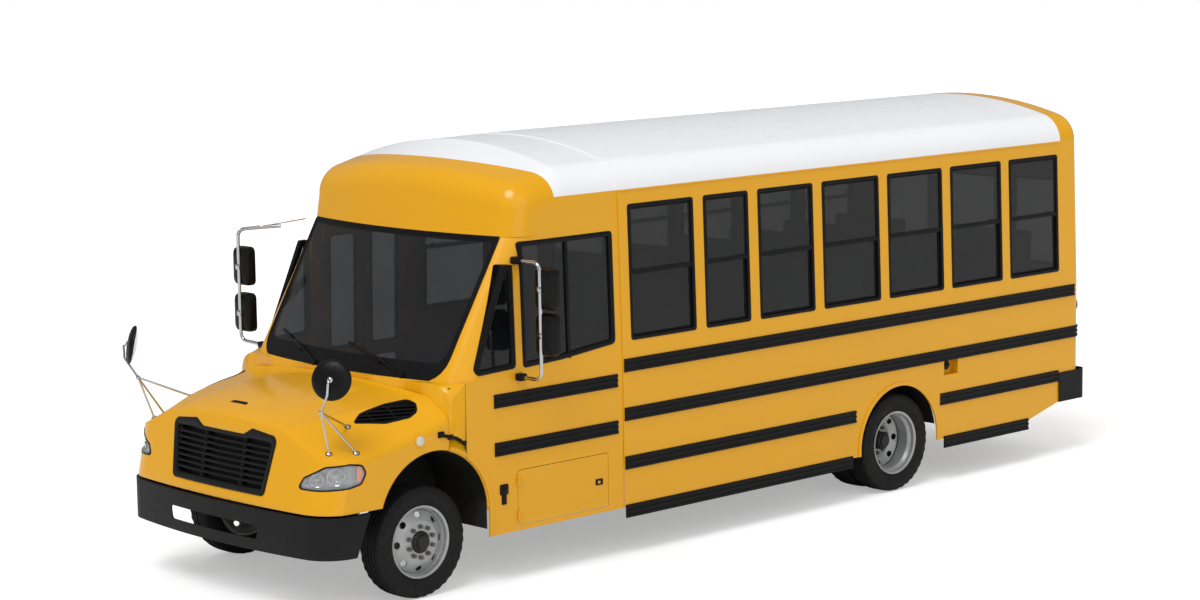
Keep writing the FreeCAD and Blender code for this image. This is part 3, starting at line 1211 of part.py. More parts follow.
def hub(x, y, outward, length, reach):
    """A hub round its spindle, with the wheel nuts."""
    centre = Vector(x, y, axle_z)
    body = rod(centre - Vector(outward * length, 0, 0), centre + Vector(outward * reach, 0, 0), S.hub_radius)
    body = body.fuse(rod(centre - Vector(outward * 28, 0, 0), centre - Vector(outward * 12, 0, 0), 135))
    bore_end = centre + Vector(outward * (reach - 20), 0, 0)
    body = body.cut(rod(centre - Vector(outward * (length + 5), 0, 0), bore_end, S.spindle_radius + S.bearing_gap))
    for number in range(int(S.wheel_nuts)):
        angle = 2 * math.pi * (number + 0.5) / S.wheel_nuts
        place = centre + Vector(0, S.nut_circle * math.cos(angle), S.nut_circle * math.sin(angle))
        body = body.fuse(rod(place, place + Vector(outward * 22, 0, 0), 14))
    return body


front_disc = 88.0
for name, side in (("left", 1), ("right", -1)):
    x = side * S.front_track_half
    feature("tyre_front_" + name, tyre(x, 0.0))
    wheel = rim(x, 0.0, side * front_disc, side)
    face_x = x + side * front_disc
    feature("wheel_front_" + name, fused([wheel, hub(face_x, 0.0, side, 150, S.hub_reach)]))
    outer, inner = side * (S.dual_half + S.dual_gap / 2), side * (S.dual_half - S.dual_gap / 2)
    feature("tyres_rear_" + name, Part.makeCompound([tyre(outer, S.rear_axle_y), tyre(inner, S.rear_axle_y)]))
    offset = S.dual_gap / 2
    pair = [rim(outer, S.rear_axle_y, side * (12 - offset), -side),
            rim(inner, S.rear_axle_y, side * (offset - 12), side)]
    disc_face = side * (S.dual_half + 12)
    feature("wheels_rear_" + name, fused(pair + [hub(disc_face, S.rear_axle_y, side, 150, 110)]))

# steering knuckles, each with its spindle, kingpin and arm
arm_y = S.steer_arm


def knuckle(side):
    pin_x = side * S.kingpin_x
    kingpin = rod(Vector(pin_x, 0, axle_z - 112), Vector(pin_x, 0, axle_z + 112), S.kingpin_radius)
    yoke_x = sorted((pin_x - side * 34, pin_x + side * 62))
    lugs = [block(yoke_x, (-36, 36), z) for z in ((axle_z + 72, axle_z + 106), (axle_z - 106, axle_z - 72))]
    back = block(sorted((pin_x + side * 46, pin_x + side * 62)), (-36, 36), (axle_z - 106, axle_z + 106))
    stub = rod(Vector(pin_x + side * 50, 0, axle_z), Vector(side * (S.front_track_half + 95), 0, axle_z),
               S.spindle_radius)
    arm = block((pin_x - 20, pin_x + 20), (20, arm_y + 28), (axle_z - 100, axle_z - 78))
    eye = rod(Vector(pin_x, arm_y, S.tie_rod_z + 26), Vector(pin_x, arm_y, axle_z - 78), 26)
    ball = rod(Vector(pin_x, arm_y, S.tie_rod_z - 20), Vector(pin_x, arm_y, S.tie_rod_z + 30), 9)
    return fused([kingpin] + lugs + [back, stub, arm, eye, ball])


feature("knuckle_left", knuckle(1))
feature("knuckle_right", knuckle(-1))
rod_span = rod(Vector(-S.kingpin_x + 20, arm_y, S.tie_rod_z), Vector(S.kingpin_x - 20, arm_y, S.tie_rod_z),
               S.tie_rod_radius)
eyes = []
for side in (-1, 1):
    ring_eye = rod(Vector(side * S.kingpin_x, arm_y, S.tie_rod_z - 16), Vector(side * S.kingpin_x, arm_y,
                                                                            S.tie_rod_z + 16), 26)
    eyes.append(ring_eye)
tie_rod = fused([rod_span] + eyes)
for side in (-1, 1):
    tie_rod = tie_rod.cut(rod(Vector(side * S.kingpin_x, arm_y, 0), Vector(side * S.kingpin_x, arm_y, 900),
                              9 + S.bearing_gap))
feature("tie_rod", tie_rod)


# ---------------------------------------------------------------- cabin

dash_top = S.sill_z - 25.0
dash = slab("side", [(S.cowl_mid_y + 150, 1180), (560, 1120, 40), (620, 1300, 60), (600, dash_top, 40),
                     (S.cowl_mid_y + 150, dash_top)], -1040, 1040)
feature("dashboard", dash)

wheel_centre = Vector(560, 800, 1480)
wheel_axis = Vector(0, 0.62, 0.78).normalize()
steering_rim = Part.makeTorus(215, 15, wheel_centre, wheel_axis)
hub_disc = Part.makeCylinder(60, 40, wheel_centre - wheel_axis * 50, wheel_axis)
spokes = []
for number in range(3):
    angle = 2 * math.pi * number / 3 + math.pi / 6
    sideways = Vector(1, 0, 0)
    upright = wheel_axis.cross(sideways)
    end = wheel_centre + sideways * (210 * math.cos(angle)) + upright * (210 * math.sin(angle))
    spokes.append(rod(wheel_centre - wheel_axis * 28, end, 11))
column = rod(wheel_centre - wheel_axis * 20, wheel_centre - wheel_axis * 330, 28)
feature("steering_wheel", fused([steering_rim, hub_disc, column] + spokes).cut(dash))

seat_y = 1180.0
cushion = slab("side", [(seat_y, 1290, 20), (seat_y + 480, 1290), (seat_y + 480, 1390), (seat_y, 1400, 40)], 320, 800)
seat_back = slab("side", [(seat_y + 430, 1370, 20), (seat_y + 540, 1370, 20), (seat_y + 640, 2060, 40),
                          (seat_y + 560, 2060, 30)], 330, 790)
pedestal = block((430, 690), (seat_y + 80, seat_y + 400), (S.floor_z, 1290))
feature("driver_seat", fused([cushion, seat_back, pedestal]))


def bench(back_y, x):
    """One passenger bench: legs, cushion and a high back."""
    cushion = slab("side", [(back_y - 420, 1270, 40), (back_y, 1270), (back_y, 1390), (back_y - 420, 1400, 50)], x[0], x[1])
    back = slab("side", [(back_y - 60, 1290), (back_y + 40, 1290), (back_y + 95, S.seat_top_z, 40),
                         (back_y + 10, S.seat_top_z, 40)], x[0], x[1])
    legs = [block((a, a + 40), (back_y - 360, back_y - 20), (S.floor_z, 1275)) for a in (x[0] + 120, x[1] - 160)]
    return fused([cushion, back] + legs)


benches = []
outer = S.half_width - S.wall - 40
for number in range(int(S.seat_rows)):
    back_y = S.seat_first_y + number * S.seat_pitch
    x = (outer - S.seat_width + 100, outer - 10)
    benches.append(bench(back_y, x))
feature("passenger_seats_left", Part.makeCompound(benches))
feature("passenger_seats_right", Part.makeCompound([mirrored(seat) for seat in benches]))


# ---------------------------------------------------------------- outside fittings

def mirror_head(x, y, z):
    outer = block((x[0], x[1]), (y, y + 90), (z[0], z[1]))
    corners = [edge for edge in outer.Edges if edge.BoundBox.YLength > 89]
    return outer.makeFillet(45, corners)


reach = S.mirror_reach
left_post = bent_tube([Vector(1178, 860, 2330), Vector(1455, 860, 2330), Vector(1455, 860, 1490),
                       Vector(1200, 860, 1490)], 60, 14)
left_base = [block((1150, 1235), (825, 895), (2300, 2360)), block((1190, 1250), (810, 900), (1460, 1520))]
left_base = [piece.cut(cab_outer[0]).cut(cab_outer[3]) for piece in left_base]
left_heads = [mirror_head((reach - 190, reach), 866, z) for z in ((1990, 2290), (1660, 1960))]
right_post = bent_tube([Vector(-1100, 640, 2440), Vector(-1455, 380, 2400), Vector(-1455, 380, 1540),
                        Vector(-1160, 420, 1520)], 60, 14)
right_stay = rod(Vector(-1440, 380, 2395), Vector(-1000, 790, 2500), 9)
right_heads = [mirror_head((-reach, -reach + 190), 386, z) for z in ((1960, 2260), (1600, 1900))]
left_mirror = fused([left_post] + left_base + left_heads).cut(cab_outer[0]).cut(cab_outer[3])
right_mirror = fused([right_post, right_stay] + right_heads).cut(cab_outer[0]).cut(cab_outer[3]).cut(cab_outer[1])
feature("side_mirrors", Part.makeCompound([left_mirror, right_mirror]))


def wiper(pivot_x, tip_x):
    """An arm and blade lying on the windshield."""
    slope = (S.screen_top_y - S.screen_base_y) / (S.screen_top_z - S.sill_z)
    radius = (1040.0 ** 2 + S.screen_bow ** 2) / (2 * S.screen_bow)

    def on_glass(x, z, out):
        y = S.screen_base_y + radius - math.sqrt(radius ** 2 - x ** 2) + (z - S.sill_z) * slope
        return Vector(x, y - out, z)

    foot = on_glass(pivot_x, S.sill_z + 20, 12)
    elbow = on_glass((pivot_x + tip_x) / 2, S.sill_z + 130, 30)
    blade_low = on_glass(pivot_x * 0.6 + tip_x * 0.4, S.sill_z + 90, 18)
    blade_high = on_glass(tip_x, S.sill_z + 190, 18)
    boss = rod(foot + Vector(0, 20, -2), foot + Vector(0, -18, 0), 20)
    return fused([boss, rod(foot, elbow, 9), rod(elbow, (blade_low + blade_high) * 0.5, 8),
                  rod(blade_low, blade_high, 10)])


wiper_left = wiper(700.0, 60.0).cut(cab_outer[0]).cut(cab_outer[3])
wiper_right = wiper(-250.0, -820.0).cut(cab_outer[0]).cut(cab_outer[3])
feature("wipers", Part.makeCompound([wiper_left, wiper_right]))

lamps = []
for x, z, radius in ((1080, 1290, 90), (1080, 930, 60), (860, 1290, 60), (950, 2790, 80), (720, 2830, 80)):
    lamps.append(rod(Vector(x, S.body_rear_y, z), Vector(x, S.body_rear_y + 22, z), radius))
feature("rear_lamps", both_sides(lamps))


# ---------------------------------------------------------------- check and write

doc.recompute()
for item in doc.Objects:
    if "Invalid" in item.State or "Error" in item.State:
        raise RuntimeError("%s did not compute: %s" % (item.Label, item.State))
os.makedirs("parts", exist_ok=True)
for item in nodes:
    if item.Shape.isNull() or not item.Shape.isValid():
        raise RuntimeError("%s has no valid shape" % item.Label)
    item.Shape.exportStep("parts/%s.step" % item.Label)
    print(item.Label, len(item.Shape.Solids), round(item.Shape.Volume / 1e9, 5))
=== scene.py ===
"""Looks for a school bus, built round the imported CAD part.

Drawing lengths are millimetres from the ground below the front axle: +X is the bus's left side, +Y its rear.
P() turns them into the row frame, in metres, and drawn() turns them back.
"""
import json
import math

import bmesh
import bpy
from mathutils import Matrix, Vector
from mathutils.bvhtree import BVHTree


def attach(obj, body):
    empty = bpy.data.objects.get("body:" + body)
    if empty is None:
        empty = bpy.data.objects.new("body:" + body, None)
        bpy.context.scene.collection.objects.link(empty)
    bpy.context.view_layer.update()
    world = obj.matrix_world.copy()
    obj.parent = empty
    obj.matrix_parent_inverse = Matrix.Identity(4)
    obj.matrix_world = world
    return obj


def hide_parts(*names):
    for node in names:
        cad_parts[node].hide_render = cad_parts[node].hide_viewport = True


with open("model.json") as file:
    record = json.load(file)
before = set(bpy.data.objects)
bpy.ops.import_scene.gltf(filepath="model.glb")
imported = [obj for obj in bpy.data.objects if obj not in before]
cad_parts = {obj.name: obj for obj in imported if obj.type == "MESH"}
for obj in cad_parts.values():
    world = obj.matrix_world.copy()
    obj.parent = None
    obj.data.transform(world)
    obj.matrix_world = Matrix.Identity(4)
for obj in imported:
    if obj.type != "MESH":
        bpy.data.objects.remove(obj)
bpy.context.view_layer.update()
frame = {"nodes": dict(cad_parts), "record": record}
NODES = frame["nodes"]

ORIGIN_Y = 3280.0
# metres within which neighbouring points become one
SOLID_WELD, TURNED_WELD, SHEET_WELD, HOOD_WELD = 1e-7, 5e-7, 5e-5, 2e-4


def P(x, y, z):
    return Vector((x / 1000, (y - ORIGIN_Y) / 1000, z / 1000))


def drawn(place):
    return (place.x * 1000, place.y * 1000 + ORIGIN_Y, place.z * 1000)


# ---------------------------------------------------------------- materials

MATERIALS = {}
DUST = (0.30, 0.27, 0.22)


def tree(name):
    """A new material's node tree and its shader."""
    material = MATERIALS[name] = bpy.data.materials.new(name)
    material.use_nodes = True
    return material.node_tree, material.node_tree.nodes["Principled BSDF"]


def feed(t, socket, value):
    """Links an input to a socket, or sets it to a number or a colour."""
    if isinstance(value, bpy.types.NodeSocket):
        t.links.new(value, socket)
    else:
        socket.default_value = (*value, 1.0) if isinstance(value, tuple) else value


def dressed(t, node, **inputs):
    """A node with its inputs fed; their names have _ for each space."""
    for name, value in inputs.items():
        feed(t, node.inputs[name.replace("_", " ")], value)
    return node


def add(t, kind, **inputs):
    return dressed(t, t.nodes.new("ShaderNode" + kind), **inputs)


def coordinates(t):
    return add(t, "TexCoord").outputs["Object"]


def noise(t, vector, scale, detail=3.0, roughness=0.5):
    return add(t, "TexNoise", Vector=vector, Scale=scale, Detail=detail, Roughness=roughness).outputs["Fac"]


def spread(t, value, low, high, start=0.3, end=0.7):
    """A value mapped from start..end to low..high."""
    return add(t, "MapRange", Value=value, From_Min=start, From_Max=end, To_Min=low, To_Max=high).outputs["Result"]


def maths(t, operation, *values):
    node = add(t, "Math")
    node.operation = operation
    for socket, value in zip(node.inputs, values):
        feed(t, socket, value)
    return node.outputs[0]


def blend_colours(t, factor, first, second):
    node = add(t, "Mix")
    node.data_type = "RGBA"
    for number, value in ((0, factor), (6, first), (7, second)):
        feed(t, node.inputs[number], value)
    return node.outputs[2]


def bump(t, shader, height, strength, distance):
    node = add(t, "Bump", Strength=strength, Distance=distance, Height=height)
    dressed(t, shader, Normal=node.outputs["Normal"])


def scaled(colour, share):
    return tuple(min(1.0, c * share) for c in colour)


def surface(name, colour, roughness, variation=0.06, scale=3.0, grain=0.0, grain_scale=400.0, metallic=0.0,
            coat=0.0, specular=0.5, rough_spread=0.05, dirt=None):
    """A procedural surface: uneven colour and gloss, with fine grain and road dust; dirt is (strength, top)."""
    t, shader = tree(name)
    place = coordinates(t)
    patches = spread(t, noise(t, place, scale, 4.0), 0.0, 1.0)
    shade = blend_colours(t, patches, scaled(colour, 1 - variation), scaled(colour, 1 + variation))
    if dirt:
        low = spread(t, add(t, "SeparateXYZ", Vector=place).outputs["Z"], dirt[0], 0.0, 0.25, dirt[1])
        speckle = spread(t, noise(t, place, 9.0, 6.0, 0.65), 0.2, 1.0, 0.35, 0.65)
        shade = blend_colours(t, maths(t, "MULTIPLY", low, speckle), shade, DUST)
    gloss = spread(t, noise(t, place, scale * 7, 3.0), max(0.02, roughness - rough_spread),
                   roughness + rough_spread)
    dressed(t, shader, Base_Color=shade, Roughness=gloss, Metallic=metallic, Specular_IOR_Level=specular,
            Coat_Weight=coat, Coat_Roughness=0.04)
    if grain:
        bump(t, shader, noise(t, place, grain_scale, 2.0), grain, 0.001)


surface("yellow_paint", (0.752, 0.362, 0.004), 0.25, 0.010, 1.3, 0.02, 260.0, coat=0.25, specular=0.3,
        rough_spread=0.02, dirt=(0.04, 0.6))
surface("white_paint", (0.84, 0.85, 0.87), 0.32, 0.008, 1.1, coat=0.1, specular=0.3)
surface("black_trim", (0.005, 0.005, 0.0055), 0.42, 0.2, 8.0, 0.2, 700.0, specular=0.16)
surface("dark_grey", (0.009, 0.0092, 0.0095), 0.5, 0.14, 5.0, 0.3, 600.0, specular=0.18, dirt=(0.02, 0.6))
surface("chassis_black", (0.008, 0.008, 0.008), 0.6, 0.3, 7.0, 0.4, 300.0, specular=0.2, dirt=(0.12, 0.8))
surface("cast_parts", (0.075, 0.072, 0.07), 0.6, 0.3, 9.0, 0.8, 220.0, metallic=0.5, dirt=(0.4, 0.9))
surface("aluminium", (0.55, 0.56, 0.58), 0.4, 0.1, 9.0, 0.2, 300.0, metallic=1.0)
surface("chrome", (0.62, 0.62, 0.62), 0.14, 0.05, 14.0, metallic=1.0)
surface("mirror_face", (0.85, 0.86, 0.88), 0.03, 0.01, 5.0, metallic=1.0, rough_spread=0.01)
surface("wheel_paint", (0.42, 0.43, 0.44), 0.36, 0.08, 10.0, 0.15, 500.0, metallic=0.55, dirt=(0.18, 0.9))
surface("hub_paint", (0.008, 0.008, 0.009), 0.4, 0.3, 12.0, 0.4, 300.0, specular=0.4)
surface("nut_steel", (0.16, 0.15, 0.14), 0.35, 0.3, 30.0, 0.3, 500.0, metallic=0.8)
surface("red_lens", (0.42, 0.008, 0.006), 0.12, 0.1, 30.0, 0.5, 900.0, coat=0.6)
surface("amber_lens", (0.80, 0.20, 0.012), 0.12, 0.1, 30.0, 0.5, 900.0, coat=0.6)
surface("pale_lens", (0.62, 0.60, 0.52), 0.15, 0.08, 30.0, 0.5, 900.0, coat=0.6)
surface("floor_rubber", (0.03, 0.03, 0.032), 0.6, 0.25, 6.0, 0.6, 350.0)
# painted shade: a darkened copy of the yellow paint, for the gaps between panels
surface("painted_gap_shade", (0.16, 0.075, 0.006), 0.6, 0.2, 20.0)
surface("reflector", (0.45, 0.46, 0.48), 0.3, 0.2, 30.0, 0.4, 120.0, metallic=0.8)
surface("mirror_shell", (0.004, 0.004, 0.004), 0.38, 0.2, 12.0, 0.2, 500.0, specular=0.2)
surface("gauge_face", (0.10, 0.10, 0.11), 0.3, 0.2, 40.0)


def vinyl():
    """Seat vinyl: leather grain from cells, with faint wear."""
    t, shader = tree("seat_vinyl")
    place = coordinates(t)
    cells = add(t, "TexVoronoi", Scale=420.0, Vector=place)
    wear = spread(t, noise(t, place, 5.0, 5.0), 0.0, 1.0)
    dressed(t, shader, Base_Color=blend_colours(t, wear, (0.030, 0.034, 0.042), (0.052, 0.058, 0.070)),
            Roughness=spread(t, noise(t, place, 26.0), 0.38, 0.55), Sheen_Weight=0.1)
    bump(t, shader, cells.outputs["Distance"], 0.35, 0.0008)


def rubber():
    """Tyre rubber: dull black with dusty patches and a fine grain."""
    t, shader = tree("tyre_rubber")
    place = coordinates(t)
    dusty = spread(t, noise(t, place, 7.0, 6.0, 0.6), 0.0, 0.5)
    dressed(t, shader, Base_Color=blend_colours(t, dusty, (0.006, 0.006, 0.0065), (0.014, 0.013, 0.012)),
            Roughness=spread(t, noise(t, place, 30.0), 0.55, 0.8), Specular_IOR_Level=0.25)
    bump(t, shader, noise(t, place, 900.0, 3.0), 0.4, 0.0006)


def glass(name, colour, alpha, roughness=0.03):
    """Tinted glass, darker and hazier in faint patches."""
    t, shader = tree(name)
    haze = noise(t, coordinates(t), 2.0, 4.0)
    tint = blend_colours(t, spread(t, haze, 0.0, 1.0), scaled(colour, 0.8), scaled(colour, 1.2))
    dressed(t, shader, Base_Color=tint, Roughness=spread(t, haze, roughness, roughness + 0.03), Alpha=alpha,
            Specular_IOR_Level=0.45)


vinyl()
rubber()
glass("tinted_glass", (0.006, 0.0065, 0.0075), 0.66)
glass("screen_glass", (0.016, 0.018, 0.021), 0.56)
glass("lamp_lens", (0.75, 0.78, 0.80), 0.14, 0.02)


def paint(item, look):
    item.data.materials.clear()
    item.data.materials.append(MATERIALS[look])


for part in frame["record"]["subparts"]:
    slot = part["material_slot"]
    paint(NODES[part["node"]], "black_trim" if slot == "mirror_black" else slot)


# ---------------------------------------------------------------- mesh helpers

def link(name, data):
    item = bpy.data.objects.new(name, data)
    bpy.context.collection.objects.link(item)
    return item


def remove(item):
    bpy.data.objects.remove(item)


def raw(name, verts, faces):
    """A mesh object from drawing coordinates."""
    data = bpy.data.meshes.new(name)
    data.from_pydata([P(*v) for v in verts], [], faces)
    data.validate()
    return link(name, data)


def clean(item, distance=SOLID_WELD):
    """Welds doubles and turns the faces outward."""
    mesh = bmesh.new()
    mesh.from_mesh(item.data)
    bmesh.ops.remove_doubles(mesh, verts=mesh.verts, dist=distance)
    bmesh.ops.recalc_face_normals(mesh, faces=mesh.faces)
    mesh.to_mesh(item.data)
    mesh.free()
    return item


def applied(item):
    """The object with its modifiers made part of its mesh."""
    graph = bpy.context.evaluated_depsgraph_get()
    data = bpy.data.meshes.new_from_object(item.evaluated_get(graph))
    item.modifiers.clear()
    item.data = data
    return item


def modified(item, kind, **settings):
    modifier = item.modifiers.new(kind, kind)
    for name, value in settings.items():
        setattr(modifier, name, value)
    bpy.context.view_layer.update()
    return applied(item)


def boolean(item, other, operation="DIFFERENCE"):
    modified(item, "BOOLEAN", operation=operation, object=other, solver="EXACT")
    remove(other)
    return item


def bevelled(item, width, angle=35.0):
    return modified(item, "BEVEL", width=width / 1000, segments=2, limit_method="ANGLE",
                    angle_limit=math.radians(angle), harden_normals=False)


def thickened(item, thickness):
    return modified(item, "SOLIDIFY", thickness=thickness / 1000, offset=-1.0, use_even_offset=False)


def copy_of(item, name, transform=None):
    data = item.data.copy()
    if transform is not None:
        data.transform(transform)
    return link(name, data)


def mirror_copy(item, name="m"):
    """The same piece on the bus's other side."""
    copy = copy_of(item, name, Matrix.Scale(-1, 4, (1, 0, 0)))
    copy.data.flip_normals()
    return copy


def moved(item, name, x=0.0, y=0.0):
    """A copy carried across and along the bus, in millimetres."""
    return copy_of(item, name, Matrix.Translation((x / 1000, y / 1000, 0)))


def joined(name, items):
    """One object from several, keeping their materials."""
    mesh = bmesh.new()
    materials = []
    for item in items:
        data = item.data
        start = len(mesh.faces)
        mesh.from_mesh(data)
        mesh.faces.ensure_lookup_table()
        for face in mesh.faces[start:]:
            material = data.materials[face.material_index] if data.materials else None
            if material not in materials:
                materials.append(material)
            face.material_index = materials.index(material)
    data = bpy.data.meshes.new(name)
    mesh.to_mesh(data)
    mesh.free()
    for material in materials:
        data.materials.append(material)
    for item in items:
        remove(item)
    return link(name, data)


def done(item, look, body, slot="", replaces=(), angle=32.0):
    """The finish that every piece gets; the slot is not used."""
    paint(item, look)
    for polygon in item.data.polygons:
        polygon.use_smooth = True
    item.data.set_sharp_from_angle(angle=math.radians(angle))
    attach(item, body)
    slot or look
    if replaces:
        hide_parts(*replaces)
    return item


def piece(name, items, look, body="bus_body", slot="", replaces=()):
    return done(joined(name, items), look, body, slot, replaces)


def pair(name, items, look, body="bus_body", slot="", replaces=()):
    """Left solids and their mirror images as one piece."""
    return piece(name, items + [mirror_copy(item) for item in items], look, body, slot, replaces)


def swung(first, last, share):
    """An arm turned part of the way from first to last, which have the same length."""
    angle = first.angle(last)
    if angle < 1e-4:
        return first.lerp(last, share)
    return (first * math.sin((1 - share) * angle) + last * math.sin(share * angle)) / math.sin(angle)


def fillet(before, corner, after, radius):
    """The centre and the two ends of the arc that rounds a corner."""
    back, ahead = (before - corner).normalized(), (after - corner).normalized()
    half = back.angle(ahead) / 2
    centre = corner + (back + ahead).normalized() * (radius / math.sin(half))
    reach = radius / math.tan(half)
    return centre, corner + back * reach, corner + ahead * reach


def arc(before, corner, after, radius, steps):
    centre, first, last = fillet(before, corner, after, radius)
    return [centre + swung(first - centre, last - centre, step / steps) for step in range(steps + 1)]


def rounded(points, steps=5):
    """A drawing's outline with its corners turned into arcs; points are (a, b) or (a, b, radius)."""
    result = []
    for i, point in enumerate(points):
        before, corner, after = (Vector(p[:2]) for p in (points[i - 1], point, points[(i + 1) % len(points)]))
        round_it = len(point) > 2 and point[2]
        result += [tuple(p) for p in (arc(before, corner, after, point[2], steps) if round_it else [corner])]
    return result


def grown(points, margin):
    """A convex or gently curved outline moved outward (or inward, if negative) by a margin."""
    count = len(points)
    area = sum(points[i - 1][0] * points[i][1] - points[i][0] * points[i - 1][1] for i in range(count))
    turn = 1 if area > 0 else -1
    result = []
    for i in range(count):
        before, here, after = Vector(points[i - 1]), Vector(points[i]), Vector(points[(i + 1) % count])
        first, second = (here - before).normalized(), (after - here).normalized()
        out_first, out_second = Vector((first.y, -first.x)) * turn, Vector((second.y, -second.x)) * turn
        out = (out_first + out_second).normalized()
        result.append(tuple(here + out * (margin / max(0.2, out.dot(out_first)))))
    return result


def circle(y, z, radius, count, first=0.0):
    """Places round a circle in side view."""
    angles = [2 * math.pi * (number + first) / count for number in range(count)]
    return [(y + radius * math.cos(a), z + radius * math.sin(a)) for a in angles]


DIAGONAL = Vector((math.sqrt(0.5), -math.sqrt(0.5), 0.0))
ALONG = Vector((math.sqrt(0.5), math.sqrt(0.5), 0.0))


def lamp_place(along, z, depth):
    """A point at the left lamp: along the front corner, height, and distance outward from the drawing's middle."""
    place = DIAGONAL * depth + ALONG * along
    return (place.x, place.y, z)


VIEWS = {
    "side": lambda a, b, depth: (depth, a, b),
    "front": lambda a, b, depth: (a, depth, b),
    "plan": lambda a, b, depth: (a, b, depth),
    "lamp": lamp_place,
}


def prism(name, view, points, low, high):
    """A solid from an outline and two depths."""
    count = len(points)
    verts = [VIEWS[view](a, b, depth) for depth in (low, high) for a, b in points]
    faces = [tuple(range(count)), tuple(range(2 * count - 1, count - 1, -1))]
    faces += [(i, (i + 1) % count, count + (i + 1) % count, count + i) for i in range(count)]
    return clean(raw(name, verts, faces))


def block(name, x, y, z, width=0.0):
    item = prism(name, "plan", [(x[0], y[0]), (x[1], y[0]), (x[1], y[1]), (x[0], y[1])], *z)
    return bevelled(item, width) if width else item


def loft(name, rings, closed=False, bare=(), weld=SOLID_WELD):
    """A solid from cross-sections of equally many points; closed joins the last to the first.

    The numbers in bare are the cross-section's runs that get no faces.
    """
    width, count = len(rings[0]), len(rings)
    faces = []
    for i in range(count if closed else count - 1):
        j = (i + 1) % count
        for k in range(width):
            m = (k + 1) % width
            if k not in bare:
                faces.append((i * width + k, i * width + m, j * width + m, j * width + k))
    if not closed:
        faces.append(tuple(range(width))[::-1])
        faces.append(tuple(range((count - 1) * width, count * width)))
    return clean(raw(name, [tuple(point) for ring in rings for point in ring], faces), weld)


def tube(name, points, radius, bend=0.0, sides=14):
    """A round bar along a path whose corners turn with a bend radius."""
    points = [Vector(point) for point in points]
    path = points[:1]
    for before, corner, after in zip(points, points[1:], points[2:]):
        path += arc(before, corner, after, bend, 6) if bend else [corner]
    path.append(points[-1])
    rings, frame_x = [], None
    for i, point in enumerate(path):
        run = (path[min(i + 1, len(path) - 1)] - path[max(i - 1, 0)]).normalized()
        if frame_x is None:
            frame_x = run.orthogonal().normalized()
        frame_x = (frame_x - run * frame_x.dot(run)).normalized()
        frame_y = run.cross(frame_x)
        angles = [2 * math.pi * side / sides for side in range(sides)]
        rings.append([point + frame_x * (radius * math.cos(a)) + frame_y * (radius * math.sin(a)) for a in angles])
    return loft(name, rings)


def lathe(name, profile, centre, axis=(1, 0, 0), steps=72):
    """A turned solid about an axis through a centre; the profile is a closed list of (along, radius)."""
    axis, centre = Vector(axis).normalized(), Vector(centre)
    side = axis.orthogonal().normalized()
    up = axis.cross(side)
    rings = []
    for step in range(steps):
        angle = 2 * math.pi * step / steps
        spoke = side * math.cos(angle) + up * math.sin(angle)
        rings.append([centre + axis * along + spoke * radius for along, radius in profile])
    runs = zip(profile, profile[1:] + profile[:1])
    bare = [k for k, (first, last) in enumerate(runs) if max(first[1], last[1]) < 1e-6]
    return loft(name, rings, True, bare, TURNED_WELD)


# ---------------------------------------------------------------- sizes shared with the CAD source

HALF_WIDTH, CAB_SIDE = 1219.0, 1211.0
SILL_Z, GUTTER_Z, GUTTER_HALF = 1505.0, 2748.0, 1180.0
LEAN = (HALF_WIDTH - GUTTER_HALF) / (GUTTER_Z - SILL_Z)
BODY_REAR = 7490.0
AXLE_Z, REAR_AXLE_Y = 405.0, 5050.0
FRONT_WHEEL_X, DUAL_X, DUAL_GAP = 1015.0, 941.0, 260.0
ARCH_Y, ARCH_Z, ARCH_RADIUS = 58.0, 566.0, 498.0
SCREEN_BASE_Y, SCREEN_TOP_Y, SCREEN_TOP_Z = 148.0, 716.0, 2486.0
SCREEN_HALF, SCREEN_BOW, SCREEN_BOW_HALF = 1052.0, 120.0, 1040.0
SCREEN_RADIUS = (SCREEN_BOW_HALF ** 2 + SCREEN_BOW ** 2) / (2 * SCREEN_BOW)


def wall_x(z, step=0.0):
    return HALF_WIDTH - step - max(0.0, z - SILL_Z) * LEAN


def screen_y(x, z):
    """The windshield's outer surface."""
    rise = (SCREEN_TOP_Y - SCREEN_BASE_Y) / (SCREEN_TOP_Z - SILL_Z)
    return SCREEN_BASE_Y + SCREEN_RADIUS - math.sqrt(SCREEN_RADIUS ** 2 - x * x) + (z - SILL_Z) * rise


# ---------------------------------------------------------------- hood

# place along the bus, half width, and heights and width of the fender's edge, the shoulder and the crown
HOOD_SECTIONS = (
    (-1000, 1150, 985, 590, 1185, 1200),
    (-700, 1185, 1075, 720, 1300, 1355),
    (-300, 1205, 1150, 880, 1360, 1430),
    (210, 1211, 1290, 1040, 1430, 1503),
)
HOOD_FRONT, HOOD_FOOT, HOOD_LEAN, HOOD_CORNER = -965.0, 725.0, 0.2, 300.0
HOOD_BOW_RADIUS = (900.0 ** 2 + 45.0 ** 2) / 90.0
COWL_Y, COWL_RADIUS = 113.0, (1211.0 ** 2 + 80.0 ** 2) / 160.0
CORNER_X = CAB_SIDE - HOOD_CORNER
CORNER_Y = HOOD_FRONT + HOOD_BOW_RADIUS - math.sqrt((HOOD_BOW_RADIUS - HOOD_CORNER) ** 2 - CORNER_X ** 2)
TANGENT_X = CORNER_X * HOOD_BOW_RADIUS / (HOOD_BOW_RADIUS - HOOD_CORNER)
EDGE_RADIUS, BROW_RADIUS = 90.0, 260.0
TOP_STEPS, BROW_STEPS, SLOPE_STEPS, EDGE_STEPS, SIDE_STEPS, ROWS_ALONG = 26, 12, 10, 9, 16, 44
PANEL_RISE, CREASE_WIDTH, HOOD_THICK = 9.0, 26.0, 10.0
FRONT_SPAN, COWL_SPAN = (-1060.0, 0.0), (0.0, 209.0)     # where the hood's two ends lie along the bus
profiles = {}


